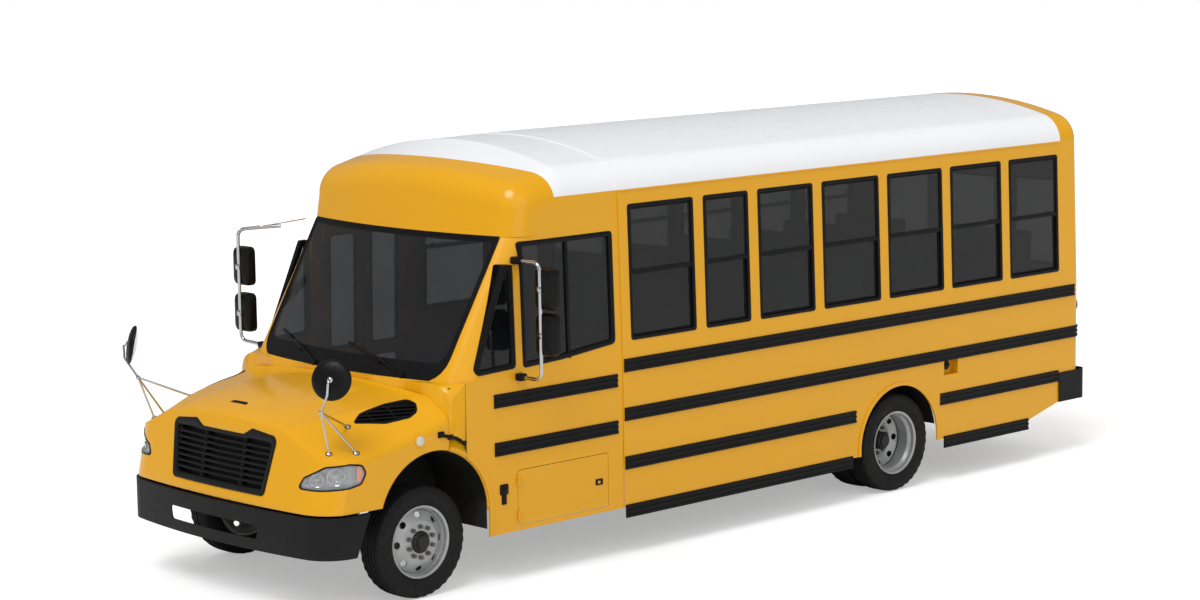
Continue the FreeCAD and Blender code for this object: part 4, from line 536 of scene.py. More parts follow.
def section_row(y):
    """The hood section's sizes at a place along the bus, through the four drawn sections."""
    result = []
    for column in range(1, 6):
        total = 0.0
        for row in HOOD_SECTIONS:
            weight = 1.0
            for other in HOOD_SECTIONS:
                if other is not row:
                    weight *= (y - other[0]) / (row[0] - other[0])
            total += weight * row[column]
        result.append(total)
    return result


def hood_profile(y):
    """Half of the hood's section, from its crown to the end of its fender's rounding."""
    half, fender, shoulder, shoulder_z, crown = section_row(y)
    low, edge = Vector((half, 0.0)), Vector((half, fender))
    brow, top = Vector((shoulder, shoulder_z)), Vector((0.0, crown))
    centre_e, edge_a, edge_b = fillet(low, edge, brow, EDGE_RADIUS)
    centre_b, brow_a, brow_b = fillet(edge, brow, top, BROW_RADIUS)
    fall = crown - brow_b.y
    radius = (brow_b.x ** 2 + fall ** 2) / (2 * fall)
    points = []
    for i in range(TOP_STEPS):
        x = brow_b.x * i / TOP_STEPS
        points.append((x, crown - radius + math.sqrt(radius ** 2 - x * x)))
    for i in range(BROW_STEPS):
        points.append(tuple(centre_b + swung(brow_b - centre_b, brow_a - centre_b, i / BROW_STEPS)))
    for i in range(SLOPE_STEPS):
        points.append(tuple(brow_a.lerp(edge_b, i / SLOPE_STEPS)))
    for i in range(EDGE_STEPS + 1):
        points.append(tuple(centre_e + swung(edge_b - centre_e, edge_a - centre_e, i / EDGE_STEPS)))
    return points


def profile_at(y):
    """The hood's profile, worked out once for each thousandth of a millimetre."""
    key = round(y, 3)
    if key not in profiles:
        profiles[key] = hood_profile(y)
    return profiles[key]


def front_y(x, z):
    """The hood's front surface: bowed, with rounded corners, and leaning back."""
    x = min(abs(x), CAB_SIDE - 0.01)
    if x < TANGENT_X:
        plan = HOOD_FRONT + HOOD_BOW_RADIUS - math.sqrt(HOOD_BOW_RADIUS ** 2 - x * x)
    else:
        plan = CORNER_Y - math.sqrt(HOOD_CORNER ** 2 - (x - CORNER_X) ** 2)
    return plan + HOOD_LEAN * (z - HOOD_FOOT)


def cowl_y(x):
    return COWL_Y + COWL_RADIUS - math.sqrt(COWL_RADIUS ** 2 - x * x)


def solve(function, low, high):
    """Where a rising function of y crosses zero."""
    for _ in range(30):
        middle = (low + high) / 2
        low, high = (low, middle) if function(middle) > 0 else (middle, high)
    return (low + high) / 2


def clamp(value):
    return min(1.0, max(0.0, value))


def swell(x, y):
    """The raised middle panel of the hood and its creases, in millimetres of height."""
    crease = 590.0 - 130.0 * clamp((y + 880.0) / 1000.0)
    fade = clamp((y + 900.0) / 120.0) * clamp((110.0 - y) / 160.0)
    edge = clamp((crease - abs(x)) / CREASE_WIDTH + 0.5)
    return PANEL_RISE * (edge * edge * (3 - 2 * edge)) * fade


def hood_mesh():
    """The hood's outer surface as one welded sheet: the top and sides, then the front."""
    count = len(hood_profile(0.0))
    shares = [0.0, 0.012, 0.03] + [0.05 + 0.95 * i / (ROWS_ALONG - 3) for i in range(ROWS_ALONG - 2)]
    verts, faces = [], []

    def column(u, fall):
        """A line from the front to the cowl: a point of the profile, lowered by a share of its height."""
        def place(y):
            x, z = profile_at(y)[u]
            return x, z + (HOOD_FOOT - z) * fall

        start = solve(lambda y: y - front_y(*place(y)), *FRONT_SPAN)
        end = solve(lambda y: y - cowl_y(place(y)[0]), *COWL_SPAN)
        result = []
        for share in shares:
            y = start + (end - start) * share
            x, z = place(y)
            result.append((x, y, z + swell(x, y)))
        return result

    def grid(rows):
        start, width = len(verts), len(rows[0])
        for row in rows:
            verts.extend(row)
        for i in range(len(rows) - 1):
            for k in range(width - 1):
                a = start + i * width + k
                faces.append((a, a + 1, a + 1 + width, a + width))

    columns = [column(u, 0.0) for u in range(count)]
    columns += [column(count - 1, j / SIDE_STEPS) for j in range(1, SIDE_STEPS + 1)]
    grid(columns)
    edge = [line[0] for line in columns]
    corner = edge[count - 1:]
    front = []
    for x, y, z in edge[:count - 1]:
        line = [(x, y, z)]
        for j in range(1, SIDE_STEPS + 1):
            cx = x * corner[j][0] / corner[0][0]
            cz = z + (HOOD_FOOT - z) * j / SIDE_STEPS
            line.append((cx, front_y(cx, cz), cz))
        front.append(line)
    grid(front + [corner])
    item = clean(raw("hood_half", verts, faces), HOOD_WELD)
    return clean(joined("hood_outer", [item, mirror_copy(item)]), HOOD_WELD)


def arch_room(x):
    """The wheel arch's room, as a solid across the bus."""
    points = [(ARCH_Y - ARCH_RADIUS, 100.0)]
    for i in range(49):
        angle = math.pi - math.pi * i / 48
        points.append((ARCH_Y + ARCH_RADIUS * math.cos(angle), ARCH_Z + ARCH_RADIUS * math.sin(angle)))
    return prism("arch_room", "side", points + [(ARCH_Y + ARCH_RADIUS, 100.0)], *x)


GRILLE = [(-540, 795, 40), (540, 795, 40), (608, 1211, 50), (328, 1241, 20), (238, 1192, 20),
          (-238, 1192, 20), (-328, 1241, 20), (-608, 1211, 50)]
LAMP = [(-20, 890, 20), (30, 975, 60), (190, 1058, 90), (358, 1073, 60), (440, 1058, 40), (466, 994, 60),
        (432, 918, 40), (356, 900, 60), (153, 888, 60)]
VENT = [(925, -438, 14), (882, -339, 60), (885, -115, 80), (933, 36, 60), (1024, 58, 40), (1074, 25, 40),
        (1084, -52, 80), (1038, -240, 80)]
LAMP_ROOM, HOOD_ROOM = (900.0, 1800.0), (1100, 1600)     # depths that reach right through the hood

hood_skin = hood_mesh()
hood_tree = BVHTree.FromPolygons([vert.co for vert in hood_skin.data.vertices],
                                 [tuple(face.vertices) for face in hood_skin.data.polygons])
hood = thickened(copy_of(hood_skin, "hood_solid"), HOOD_THICK)
holes = [prism("c", "lamp", rounded(LAMP), *LAMP_ROOM), prism("c", "plan", rounded(VENT), *HOOD_ROOM)]
holes += [mirror_copy(cutter) for cutter in holes]
for cutter in (prism("c", "front", rounded(GRILLE), -1300, -700), *holes, arch_room((640, 1400)),
               arch_room((-1400, -640))):
    boolean(hood, cutter)
bevelled(hood, 3.0, 40.0)
hood.name = "hood"
done(hood, "yellow_paint", "hood", replaces=["hood_shell"], angle=38.0)


# ---------------------------------------------------------------- pieces that follow a surface

def hood_hit(start, toward):
    """Where a line from a drawing point meets the hood, and the surface's direction there."""
    place, normal, _, _ = hood_tree.ray_cast(P(*start), toward)
    return place and Vector(drawn(place)), normal


def inset(points, margin, least=6.0):
    """An outline's corners moved inward, with their roundings made smaller by as much."""
    bare = grown([point[:2] for point in points], -margin)
    return [(a, b, max(least, point[2] - margin)) for (a, b), point in zip(bare, points)]


def matched(outer, inner, longest):
    """Two outlines with the same corners, cut into equally many short runs."""
    first, second = rounded(outer), rounded(inner)
    result = ([], [])
    for i in range(len(first)):
        j = (i + 1) % len(first)
        parts = max(1, math.ceil(math.dist(first[i], first[j]) / longest))
        for k in range(parts):
            share = k / parts
            for loop, out in ((first, result[0]), (second, result[1])):
                out.append(tuple(loop[i][n] + (loop[j][n] - loop[i][n]) * share for n in (0, 1)))
    return result


def casing(name, outer, inner, profile, place, longest):
    """A closed frame between two outlines; the profile's points are (share from outer to inner, depth)."""
    rings = []
    for a, b in zip(*matched(outer, inner, longest)):
        rings.append([place(a[0] + (b[0] - a[0]) * s, a[1] + (b[1] - a[1]) * s, depth) for s, depth in profile])
    return loft(name, rings, True)


def on_wall(step):
    return lambda y, z, depth: (wall_x(z, step) + depth, y, z)


def on_screen(x, z, depth):
    return (x, screen_y(x, z) - depth, z)


def on_front(x, z, depth):
    return (x, front_y(x, z) - depth, z)


def on_rear(x, z, depth):
    return (x, BODY_REAR + depth, z)


def leaned(item, step=0.0):
    """Moves a piece drawn about x = 0 onto the left wall, which leans in above the sill."""
    mesh = bmesh.new()
    mesh.from_mesh(item.data)
    bmesh.ops.bisect_plane(mesh, geom=mesh.verts[:] + mesh.edges[:] + mesh.faces[:],
                           plane_co=(0, 0, SILL_Z / 1000), plane_no=(0, 0, 1), dist=1e-6)
    for vert in mesh.verts:
        vert.co.x += wall_x(vert.co.z * 1000, step) / 1000
    mesh.to_mesh(item.data)
    mesh.free()
    return item


def pane(points, depth, step=0.0):
    return leaned(prism("g", "side", rounded(points), depth, depth + 5), step)


def rear_pane(points):
    return prism("g", "front", rounded(points), BODY_REAR - 20, BODY_REAR - 14)


# ---------------------------------------------------------------- windows

WINDOW_LENGTHS = (694, 496, 634, 684, 690, 669, 671)
WINDOW_FIRST_Y, WINDOW_GAP, WINDOW_LOW, WINDOW_HIGH, WINDOW_FRAME = 1988.0, 107.0, 1621.0, 2637.0, 26
CAB_STEP, LONG_RUN = 8.0, 400     # the cab's side behind the wall's, and the longest straight run of a frame
DRIVER_WINDOW = [(906, 1545, 30), (1280, 1562, 60), (1830, 1618, 40), (1830, 2455, 30), (906, 2455, 30)]
QUARTER_WINDOW = [(428, 1537, 45), (838, 1553, 35), (838, 2301, 25), (752, 2301, 20)]
REAR_WINDOW = [(470, 1621, 40), (1010, 1621, 40), (1000, 2400, 60), (470, 2400, 40)]
FRAME_PROFILE = [(0, -34), (0, 2), (0.08, 5), (0.8, 5), (1, 1), (1, -34)]
RUBBER_PROFILE = [(0, -34), (0, 3), (0.15, 7), (0.55, 8), (0.9, 4), (1, -2), (1, -34)]


def rectangle(a, b, radius=6.0):
    return [(a[0], b[0], radius), (a[1], b[0], radius), (a[1], b[1], radius), (a[0], b[1], radius)]


def passenger_windows():
    """Each left window's frame, its two sliding sashes with a rail between them, and the catches."""
    frames, panes = [], []
    start = WINDOW_FIRST_Y
    middle = (WINDOW_LOW + WINDOW_HIGH) / 2
    for length in WINDOW_LENGTHS:
        outer = rectangle((start, start + length), (WINDOW_LOW, WINDOW_HIGH), 25.0)
        frames.append(casing("f", outer, inset(outer, WINDOW_FRAME, 10.0), FRAME_PROFILE, on_wall(0.0), LONG_RUN))
        inside = (start + WINDOW_FRAME, start + length - WINDOW_FRAME)
        for low, high, depth in ((WINDOW_LOW + WINDOW_FRAME, middle + 14, -30),
                                 (middle - 20, WINDOW_HIGH - WINDOW_FRAME, -16)):
            sash = rectangle(inside, (low, high))
            profile = [(0, depth), (0, depth + 10), (0.8, depth + 12), (1, depth + 8), (1, depth)]
            frames.append(casing("f", sash, inset(sash, 17), profile, on_wall(0.0), LONG_RUN))
            panes.append(pane(inset(sash, 14), depth + 3))
        rail = [(-18, middle - 20), (-2, middle - 20), (1, middle - 16), (1, middle + 12), (-2, middle + 16),
                (-18, middle + 16)]
        frames.append(leaned(prism("f", "front", rail, *inside)))
        for y in (inside[0] + 60, inside[1] - 100):
            frames.append(leaned(block("f", (-30, -22), (y, y + 40), (middle + 14, middle + 30), 2.0)))
        start += length + WINDOW_GAP
    return frames, panes


def cab_window(points):
    return (casing("f", points, inset(points, 38, 12.0), RUBBER_PROFILE, on_wall(CAB_STEP), 300),
            pane(inset(points, 30, 14.0), -18, CAB_STEP))


frames, panes = passenger_windows()
quarter_frame, quarter_pane = cab_window(QUARTER_WINDOW)
driver_frame, driver_pane = cab_window(DRIVER_WINDOW)
divider = leaned(block("f", (-26, 0), (1353, 1383), (1560, 2440), 2.0), CAB_STEP)
frames.append(quarter_frame)
panes.append(quarter_pane)
right_frames, right_panes = [[mirror_copy(item) for item in items] for items in (frames, panes)]
piece("window_frames_left", frames + [driver_frame, divider], "black_trim", replaces=["side_windows_left"])
piece("window_glass_left", panes + [driver_pane], "tinted_glass")
piece("window_frames_right", right_frames, "black_trim", replaces=["side_windows_right"])
piece("window_glass_right", right_panes, "tinted_glass")
rear_seal = casing("f", REAR_WINDOW, inset(REAR_WINDOW, 30, 12.0), RUBBER_PROFILE, on_rear, LONG_RUN)
pair("rear_window_seals", [rear_seal], "black_trim", replaces=["rear_windows"])
pair("rear_window_glass", [rear_pane(inset(REAR_WINDOW, 20, 14.0))], "tinted_glass")


# ---------------------------------------------------------------- windshield

SCREEN_CORNER, SCREEN_ACROSS, SCREEN_UP = 150, 44, 14
SCREEN = [(-1042, 1505, 150), (1042, 1505, 150), (1052, 2486, 8), (-1052, 2486, 8)]
SCREEN_CLEAR = [(-1006, 1622, 95), (1006, 1622, 95), (1020, 2448, 26), (-1020, 2448, 26)]


def screen_half(z):
    half = SCREEN_HALF - 10 + 10 * ((z - SILL_Z) / (SCREEN_TOP_Z - SILL_Z)) - 1
    below = max(0.0, SILL_Z + SCREEN_CORNER - z)
    return half - SCREEN_CORNER + math.sqrt(max(0.0, SCREEN_CORNER ** 2 - below ** 2))


def screen_sheet():
    """The windshield's outer face as a grid, with rounded lower corners."""
    curve = [SILL_Z + SCREEN_CORNER - SCREEN_CORNER * math.cos(math.radians(angle)) for angle in range(0, 85, 12)]
    heights = [SILL_Z + 2 + (z - SILL_Z) * 0.985 for z in curve]
    straight = SCREEN_TOP_Z - SILL_Z - SCREEN_CORNER
    heights += [SILL_Z + SCREEN_CORNER + straight * i / SCREEN_UP for i in range(SCREEN_UP + 1)]
    verts, faces = [], []
    for z in heights:
        for i in range(SCREEN_ACROSS + 1):
            verts.append(on_screen(screen_half(z) * (2 * i / SCREEN_ACROSS - 1), z, -1.0))
    for row in range(len(heights) - 1):
        for i in range(SCREEN_ACROSS):
            a = row * (SCREEN_ACROSS + 1) + i
            faces.append((a, a + 1, a + SCREEN_ACROSS + 2, a + SCREEN_ACROSS + 1))
    return clean(raw("windshield_glass", verts, faces), SHEET_WELD)


done(thickened(screen_sheet(), 6.0), "screen_glass", "bus_body", "tinted_glass", ["windshield"])
done(casing("windshield_border", SCREEN, SCREEN_CLEAR, [(0, -7), (0, 0.4), (1, 0.4), (1, -7)], on_screen, 50.0),
     "black_trim", "bus_body")
done(casing("windshield_rubber", inset(SCREEN, -7, 20), inset(SCREEN, 15, 20),
            [(0, -3), (0.1, 4), (0.5, 6), (0.9, 4), (1, -3)], on_screen, 50.0), "black_trim", "bus_body")


# ---------------------------------------------------------------- grille, lamps and vents

GRILLE_INNER = [(-500, 836, 24), (500, 836, 24), (562, 1168, 30), (328, 1170, 12), (238, 1164, 12),
                (-238, 1164, 12), (-328, 1170, 12), (-562, 1168, 30)]
GRILLE_PROFILE = [(0, -24), (0, 4), (0.05, 8), (0.2, 10), (0.75, 7), (0.95, 2), (1, -4), (1, -28)]
BAR = [(-28, -8), (-9, -9), (-5, -5), (-4, 0), (-6, 5), (-28, 8)]
POST = [(-20, -52), (-20, -32), (-14, -28), (14, -28), (20, -32), (20, -52)]
BACKING = [(-66, 812), (-60, 812), (-60, 1192), (-66, 1192)]


def across_front(name, half, steps, section):
    """A bar across the bus's front; its section is (depth, height)."""
    places = [half * (i / steps - 1) for i in range(2 * steps + 1)]
    return loft(name, [[on_front(x, z, depth) for depth, z in section] for x in places])


grille = [casing("surround", inset(GRILLE, 2), GRILLE_INNER, GRILLE_PROFILE, on_front, 45.0)]
for number in range(7):
    z = 836 + 330 * (number + 1) / 8
    half = 500 + 62 * (z - 836) / 332 + 6
    grille.append(across_front("bar", half, 12, [(depth, z + b) for depth, b in BAR]))
for x in (-230, 230):
    grille.append(loft("post", [[on_front(x + a, z, depth) for a, depth in POST] for z in range(830, 1181, 35)]))
piece("grille_bars", grille, "dark_grey", "hood", replaces=["grille"])
done(across_front("grille_backing", 585, 10, BACKING), "black_trim", "hood")


def shell(outward, inward):
    """The hood's surface as a closed layer, from outward of it to inward."""
    move = [vert.normal * (outward / 1000) for vert in hood_skin.data.vertices]
    item = copy_of(hood_skin, "layer")
    for vert, by in zip(item.data.vertices, move):
        vert.co += by
    return thickened(item, outward + inward)


def lamp_shape(points, outward, inward):
    return boolean(shell(outward, inward), prism("c", "lamp", rounded(points), *LAMP_ROOM), "INTERSECT")


def lamp_depth(along, z):
    """How far out the hood's surface lies at a place in the lamp."""
    place, _ = hood_hit(lamp_place(along, z, 2200.0), -DIAGONAL)
    return place.dot(DIAGONAL) if place else LAMP_DEPTH


def on_lamp(along, z, depth):
    return lamp_place(along, z, lamp_depth(along, z) + depth)


LAMP_DEPTH = 1452.0     # where a line passes the hood
LAMP_EDGE = [(0, -26), (0, 2), (0.3, 3.5), (0.8, 3), (1, 0), (1, -26)]
LAMP_AMBER = [(400, 930, 20), (440, 935, 20), (456, 992, 30), (436, 1044, 20), (398, 1052, 20)]
lamp_rim = rounded(inset(LAMP, 3, 20.0))
lamp_edge = casing("edge", LAMP, inset(LAMP, 13, 20.0), LAMP_EDGE, on_lamp, 40.0)
lamp_lens = lamp_shape(inset(LAMP, 9, 20.0), 3.0, 2.5)
lamp_bowl = [loft("bowl", [[on_lamp(a, b, depth) for a, b in lamp_rim] for depth in (-52.0, -47.0)]),
             casing("bowl", inset(LAMP, 1, 20.0), inset(LAMP, 4, 20.0), [(0, -50), (0, -4), (1, -4), (1, -50)],
                    on_lamp, 40.0)]
reflectors = []
for along, z, radius, deep in ((262, 985, 58, 46), (128, 960, 46, 40)):
    middle = on_lamp(along, z, -20)
    profile = [(-deep * (1 - (i / 8) ** 2), max(6.0, radius * (i / 8))) for i in range(9)]
    profile += [(2, radius + 4), (-4, radius + 5), (-deep - 6, 8)]
    bulb = [(-deep, 0), (-deep, 10), (-deep + 16, 10), (-deep + 26, 7), (-deep + 30, 0)]
    reflectors += [lathe("bowl", profile, middle, DIAGONAL, 48), lathe("bulb", bulb, middle, DIAGONAL, 24)]
ribs = [(22 + i * 9, 905, i, 962 + i * 5, -24, 3.4) for i in range(8)]
ribs += [(404 - i * 9, 930, 0, 1042, -26, 3.0) for i in range(7)]
for along, low, rise, high, depth, radius in ribs:
    foot = lamp_place(along, low + rise, lamp_depth(along, low) + depth)
    reflectors.append(tube("rib", [foot, on_lamp(along, high, depth)], radius, 0, 8))
pair("headlamp_edges", [lamp_edge], "black_trim", "hood")
pair("headlamp_lenses", [lamp_lens], "lamp_lens", "hood", replaces=["headlamps"])
pair("headlamp_bowls", [joined("bowl", lamp_bowl)], "reflector", "hood", "aluminium")
pair("headlamp_reflectors", reflectors, "chrome", "hood", "aluminium")
pair("headlamp_ambers", [lamp_shape(LAMP_AMBER, -10.0, 16.0)], "amber_lens", "hood", "red_lens")

dividers = []
for low in (-300, -140):
    bar = boolean(shell(-2.0, 16.0), block("c", (880, 1086), (low, low + 8), HOOD_ROOM), "INTERSECT")
    dividers.append(boolean(bar, prism("c", "plan", rounded(inset(VENT, 6)), *HOOD_ROOM), "INTERSECT"))
pair("vent_dividers", dividers, "black_trim", "hood")


# ---------------------------------------------------------------- wheels and tyres

TYRE_HALF = [(0, 396), (10, 396), (12, 405), (30, 405), (32, 396), (40, 396), (42, 404.5), (60, 404), (62, 395),
             (68, 394), (70, 403), (84, 401), (95, 396), (101, 386), (106, 372), (110, 356), (113, 340),
             (113, 322), (111.5, 320), (111.5, 308), (110, 305), (106, 292), (108, 290), (107, 284), (102, 276),
             (95, 268), (88, 262), (84, 252), (82, 248)]
RIM = [(-97, 260), (-93, 262), (-88, 260), (-86, 249), (-70, 247), (-55, 228), (30, 228), (52, 247),
       (86, 249), (88, 260), (93, 262), (97, 260), (96, 252), (90, 243), (60, 240), (36, 222), (-60, 222),
       (-76, 241), (-92, 244)]
BOLT = [(-4, 0), (-4, 6.5), (9, 6.5), (10, 5), (10, 0)]
NUT = [(-2, 0), (-2, 18), (4, 18), (5, 16.5), (21, 16.5), (23, 14), (23, 0)]
STUD = [(20, 0), (20, 8), (27, 8), (28.5, 6), (28.5, 0)]
TYRE_STEPS, NOTCH_DEPTH = 144, 5.0
DISC_THICK, HAND_HOLES, HAND_HOLE_RING, WHEEL_NUTS, NUT_RING, HUB_BOLTS, HUB_RING = 11.0, 8, 193, 10, 112, 8, 60


def tyre(x, y):
    """A tyre with five ribs, notched shoulders and rings on its sidewalls."""
    profile = [(-a, r) for a, r in TYRE_HALF[::-1]] + TYRE_HALF[1:] + [(70, 246), (-70, 246)]
    rings = []
    for step in range(TYRE_STEPS):
        angle = 2 * math.pi * step / TYRE_STEPS
        ring = []
        for along, radius in profile:
            if step % 4 in (0, 1) and 83 < abs(along) < 107 and radius > 365:
                radius -= NOTCH_DEPTH
            ring.append((x + along, y + radius * math.sin(angle), AXLE_Z + radius * math.cos(angle)))
        rings.append(ring)
    return loft("tyre", rings, True)


def hand_hole(y, z, angle, x):
    """An oval cutter, narrower towards the axle."""
    cos, sin = math.cos(angle), math.sin(angle)
    oval = [(20 * math.cos(2 * math.pi * i / 24), 27 * math.sin(2 * math.pi * i / 24)) for i in range(24)]
    return prism("c", "side", [(y + p * cos - q * sin, z + p * sin + q * cos) for p, q in oval], *x)


def wheel(x, y, face, lean):
    """A steel wheel's rim and disc: face is the disc's outer face from the rim's middle, lean its dish."""
    rim = lathe("rim", RIM, (x, y, AXLE_Z), steps=96)
    back = face - DISC_THICK
    profile = [(face, 66), (face, 148), (face - 2, 156), (face - lean * 0.2, 166), (face - lean * 0.62, 196),
               (face - lean * 0.9, 214), (face - lean, 224), (back - lean, 224), (back - lean * 0.9, 212),
               (back - lean * 0.6, 194), (back - lean * 0.16, 164), (back, 146), (back, 66)]
    disc = lathe("disc", profile, (x, y, AXLE_Z), steps=96)
    for number, place in enumerate(circle(y, AXLE_Z, HAND_HOLE_RING, HAND_HOLES)):
        boolean(disc, hand_hole(*place, 2 * math.pi * number / HAND_HOLES, (x + face - 70, x + face + 70)))
    return joined("wheel", [bevelled(disc, 1.6, 50.0), rim])


def hub(x, y, reach):
    """The black hub with its cap, and the ring of nuts on their studs, round a disc face at x."""
    profile = [(-8, 0), (-8, 80), (6, 80.5), (10, 76), (reach - 26, 72), (reach - 18, 66), (reach - 14, 54),
               (reach - 3, 50), (reach + 1, 44), (reach + 2, 0)]
    parts = [lathe("hub", profile, (x, y, AXLE_Z), steps=64)]
    parts += [lathe("bolt", BOLT, (x + (reach - 24), *place), steps=6)
              for place in circle(y, AXLE_Z, HUB_RING, HUB_BOLTS, 0.25)]
    nuts = []
    for place in circle(y, AXLE_Z, NUT_RING, WHEEL_NUTS, 0.5):
        nuts += [lathe("nut", NUT, (x, *place), steps=6), lathe("stud", STUD, (x, *place), steps=12)]
    return joined("hub", parts), joined("nuts", nuts)


tyre_front = tyre(FRONT_WHEEL_X, 0.0)
wheel_front = wheel(FRONT_WHEEL_X, 0.0, 88.0, 40.0)
hub_front, nuts_front = hub(FRONT_WHEEL_X + 88, 0.0, 36.0)
outer_x = DUAL_X + DUAL_GAP / 2
wheel_outer = wheel(outer_x, REAR_AXLE_Y, -107.0, -34.0)
hub_rear, nuts_rear = hub(DUAL_X + 24, REAR_AXLE_Y, 99.0)
tyres_rear = joined("tyres_rear", [moved(tyre_front, "t", outer_x - gap - FRONT_WHEEL_X, REAR_AXLE_Y)
                                   for gap in (0.0, DUAL_GAP)])
wheels_rear = joined("wheels_rear", [wheel_outer, wheel(outer_x - DUAL_GAP, REAR_AXLE_Y, 118.0, 34.0)])
# left solid, name, body, look, slot and the CAD part that it stands for
WHEEL_PIECES = (
    (tyre_front, "tyre", "front_wheel", "tyre_rubber", "tyre_rubber", "tyre_front"),
    (wheel_front, "wheel", "front_wheel", "wheel_paint", "wheel_paint", "wheel_front"),
    (hub_front, "hub", "front_wheel", "hub_paint", "wheel_paint", ""),
    (nuts_front, "nuts", "front_wheel", "nut_steel", "wheel_paint", ""),
    (tyres_rear, "tyres", "rear_wheels", "tyre_rubber", "tyre_rubber", "tyres_rear"),
    (wheels_rear, "wheels", "rear_wheels", "wheel_paint", "wheel_paint", "wheels_rear"),
    (hub_rear, "rear_hub", "rear_wheels", "hub_paint", "wheel_paint", ""),
    (nuts_rear, "rear_nuts", "rear_wheels", "nut_steel", "wheel_paint", ""),
)
for left, label, body, look, slot, node in WHEEL_PIECES:
    right = mirror_copy(left, label + "_detail_right")
    left.name = label + "_detail_left"
    for item, side in ((left, "_left"), (right, "_right")):
        done(item, look, body + side, slot, [node + side] if node else [], 30.0)


# ---------------------------------------------------------------- wheel arches' dark linings

def arch_lining(name, start, end, body):
    """A black sheet under a wheel arch, between two angles from the front, with its inner wall."""
    outer, thin = ARCH_RADIUS - 8, ARCH_RADIUS - 12
    section = ((652, thin), (1200, thin), (1200, outer), (648, outer))
    rings, wall = [], []
    for i in range(25):
        angle = math.radians(start + (end - start) * i / 24)
        cos, sin = -math.cos(angle), math.sin(angle)
        rings.append([(x, ARCH_Y + r * cos, ARCH_Z + r * sin) for x, r in section])
        wall.append((ARCH_Y + thin * cos, ARCH_Z + thin * sin))
    sheets = [loft("l", rings), prism("l", "side", wall + [(ARCH_Y, ARCH_Z + 30)], 650, 654)]
    if end > 90:
        back = ARCH_Y + thin - 3
        sheets.append(block("l", (652, 1198), (back, back + 5), (424, ARCH_Z + 90), 1.0))
        sheets.append(block("l", (652, 660), (back - 60, back), (440, ARCH_Z + 60), 1.0))
    pair(name, sheets, "chassis_black", body)


arch_lining("arch_lining_hood", 18.0, 88.0, "hood")
arch_lining("arch_lining_cab", 92.0, 172.0, "bus_body")


# ---------------------------------------------------------------- mirrors

CROSS_CENTRE, CROSS_JOINT = Vector((1180, -813, 1673)), Vector((1085, -835, 1440))
CROSS_FACING = Vector((-0.55, 0.80, -0.20)).normalized()
CROSS_FEET = [Vector(foot) for foot in ((1036, -738, 1128), (1137, -575, 1125), (921, -475, 1272))]
CROSS_HEAD = [(14, 0), (14, 128), (13, 136), (9, 141), (2, 142), (-6, 139), (-16, 128), (-26, 104), (-33, 70),
              (-36, 34), (-37, 0)]
CROSS_FACE = [(12, 0), (12, 132), (16, 131), (24, 112), (31, 84), (36, 46), (37.5, 0)]
CROSS_SOCKET = [(-7, 0), (-7, 20), (4, 20), (9, 15), (12, 9), (12, 0)]
CROSS_BALL = [(-17, 0), (-15, 9), (-9, 15), (0, 17), (9, 15), (15, 9), (17, 0)]
CROSS_SHOE = [(0.5, 0), (0.5, 21), (5, 21), (8, 17), (12, 11), (14, 0)]
CROSS_PAD = [(-1, 0), (-1, 24), (2.5, 24), (2.5, 0)]

start = CROSS_CENTRE - CROSS_FACING * 34
neck = [start, CROSS_CENTRE - CROSS_FACING * 66 + Vector((-4, 0, -12)),
        CROSS_CENTRE - CROSS_FACING * 70 + Vector((-16, 0, -110)), CROSS_JOINT]
arms = [tube("t", neck, 9, 22, 12), lathe("t", CROSS_SOCKET, start, -CROSS_FACING, 24),
        lathe("t", CROSS_BALL, CROSS_JOINT, (0, 0, 1), 20)]
pads = []
for foot in CROSS_FEET:
    run = foot - CROSS_JOINT
    seat, normal = hood_hit(CROSS_JOINT + run * 0.8, P(*foot) - P(*CROSS_JOINT))
    arms += [tube("t", [CROSS_JOINT, seat - run.normalized() * 4], 8, 0, 12),
             lathe("t", CROSS_SHOE, seat, normal, 24)]
    pads.append(lathe("t", CROSS_PAD, seat, normal, 24))
pair("cross_mirror_heads", [lathe("head", CROSS_HEAD, CROSS_CENTRE, CROSS_FACING, 64)], "mirror_shell", "hood",
     "mirror_black", ["crossview_mirrors"])
pair("cross_mirror_faces", [lathe("face", CROSS_FACE, CROSS_CENTRE, CROSS_FACING, 64)], "mirror_face", "hood",
     "mirror_black")
pair("cross_mirror_arms", arms, "chrome", "hood", "aluminium")
pair("cross_mirror_pads", pads, "black_trim", "hood")

MIRROR_WIDE, MIRROR_HIGH = 190, 300
# shares of the mirror's outline and the depths where they lie
MIRROR_SHELL = ((0.55, 0), (0.82, 6), (0.94, 18), (0.985, 36), (1.0, 60), (1.0, 84), (0.985, 90), (0.93, 90),
                (0.92, 83))
MIRROR_GLASS = ((0.91, 80), (0.91, 85), (0.88, 86.5))


def mirror_part(x, y, z, section):
    """A side mirror's housing or glass, from its outline drawn at shares of its size."""
    outline = rounded(rectangle((x, x + MIRROR_WIDE), (z, z + MIRROR_HIGH), 42), 6)
    middle_x, middle_z = (x + (x + MIRROR_WIDE)) / 2, (z + (z + MIRROR_HIGH)) / 2
    return loft("m", [[(middle_x + (a - middle_x) * share, y + depth, middle_z + (b - middle_z) * share)
                       for a, b in outline] for share, depth in section])


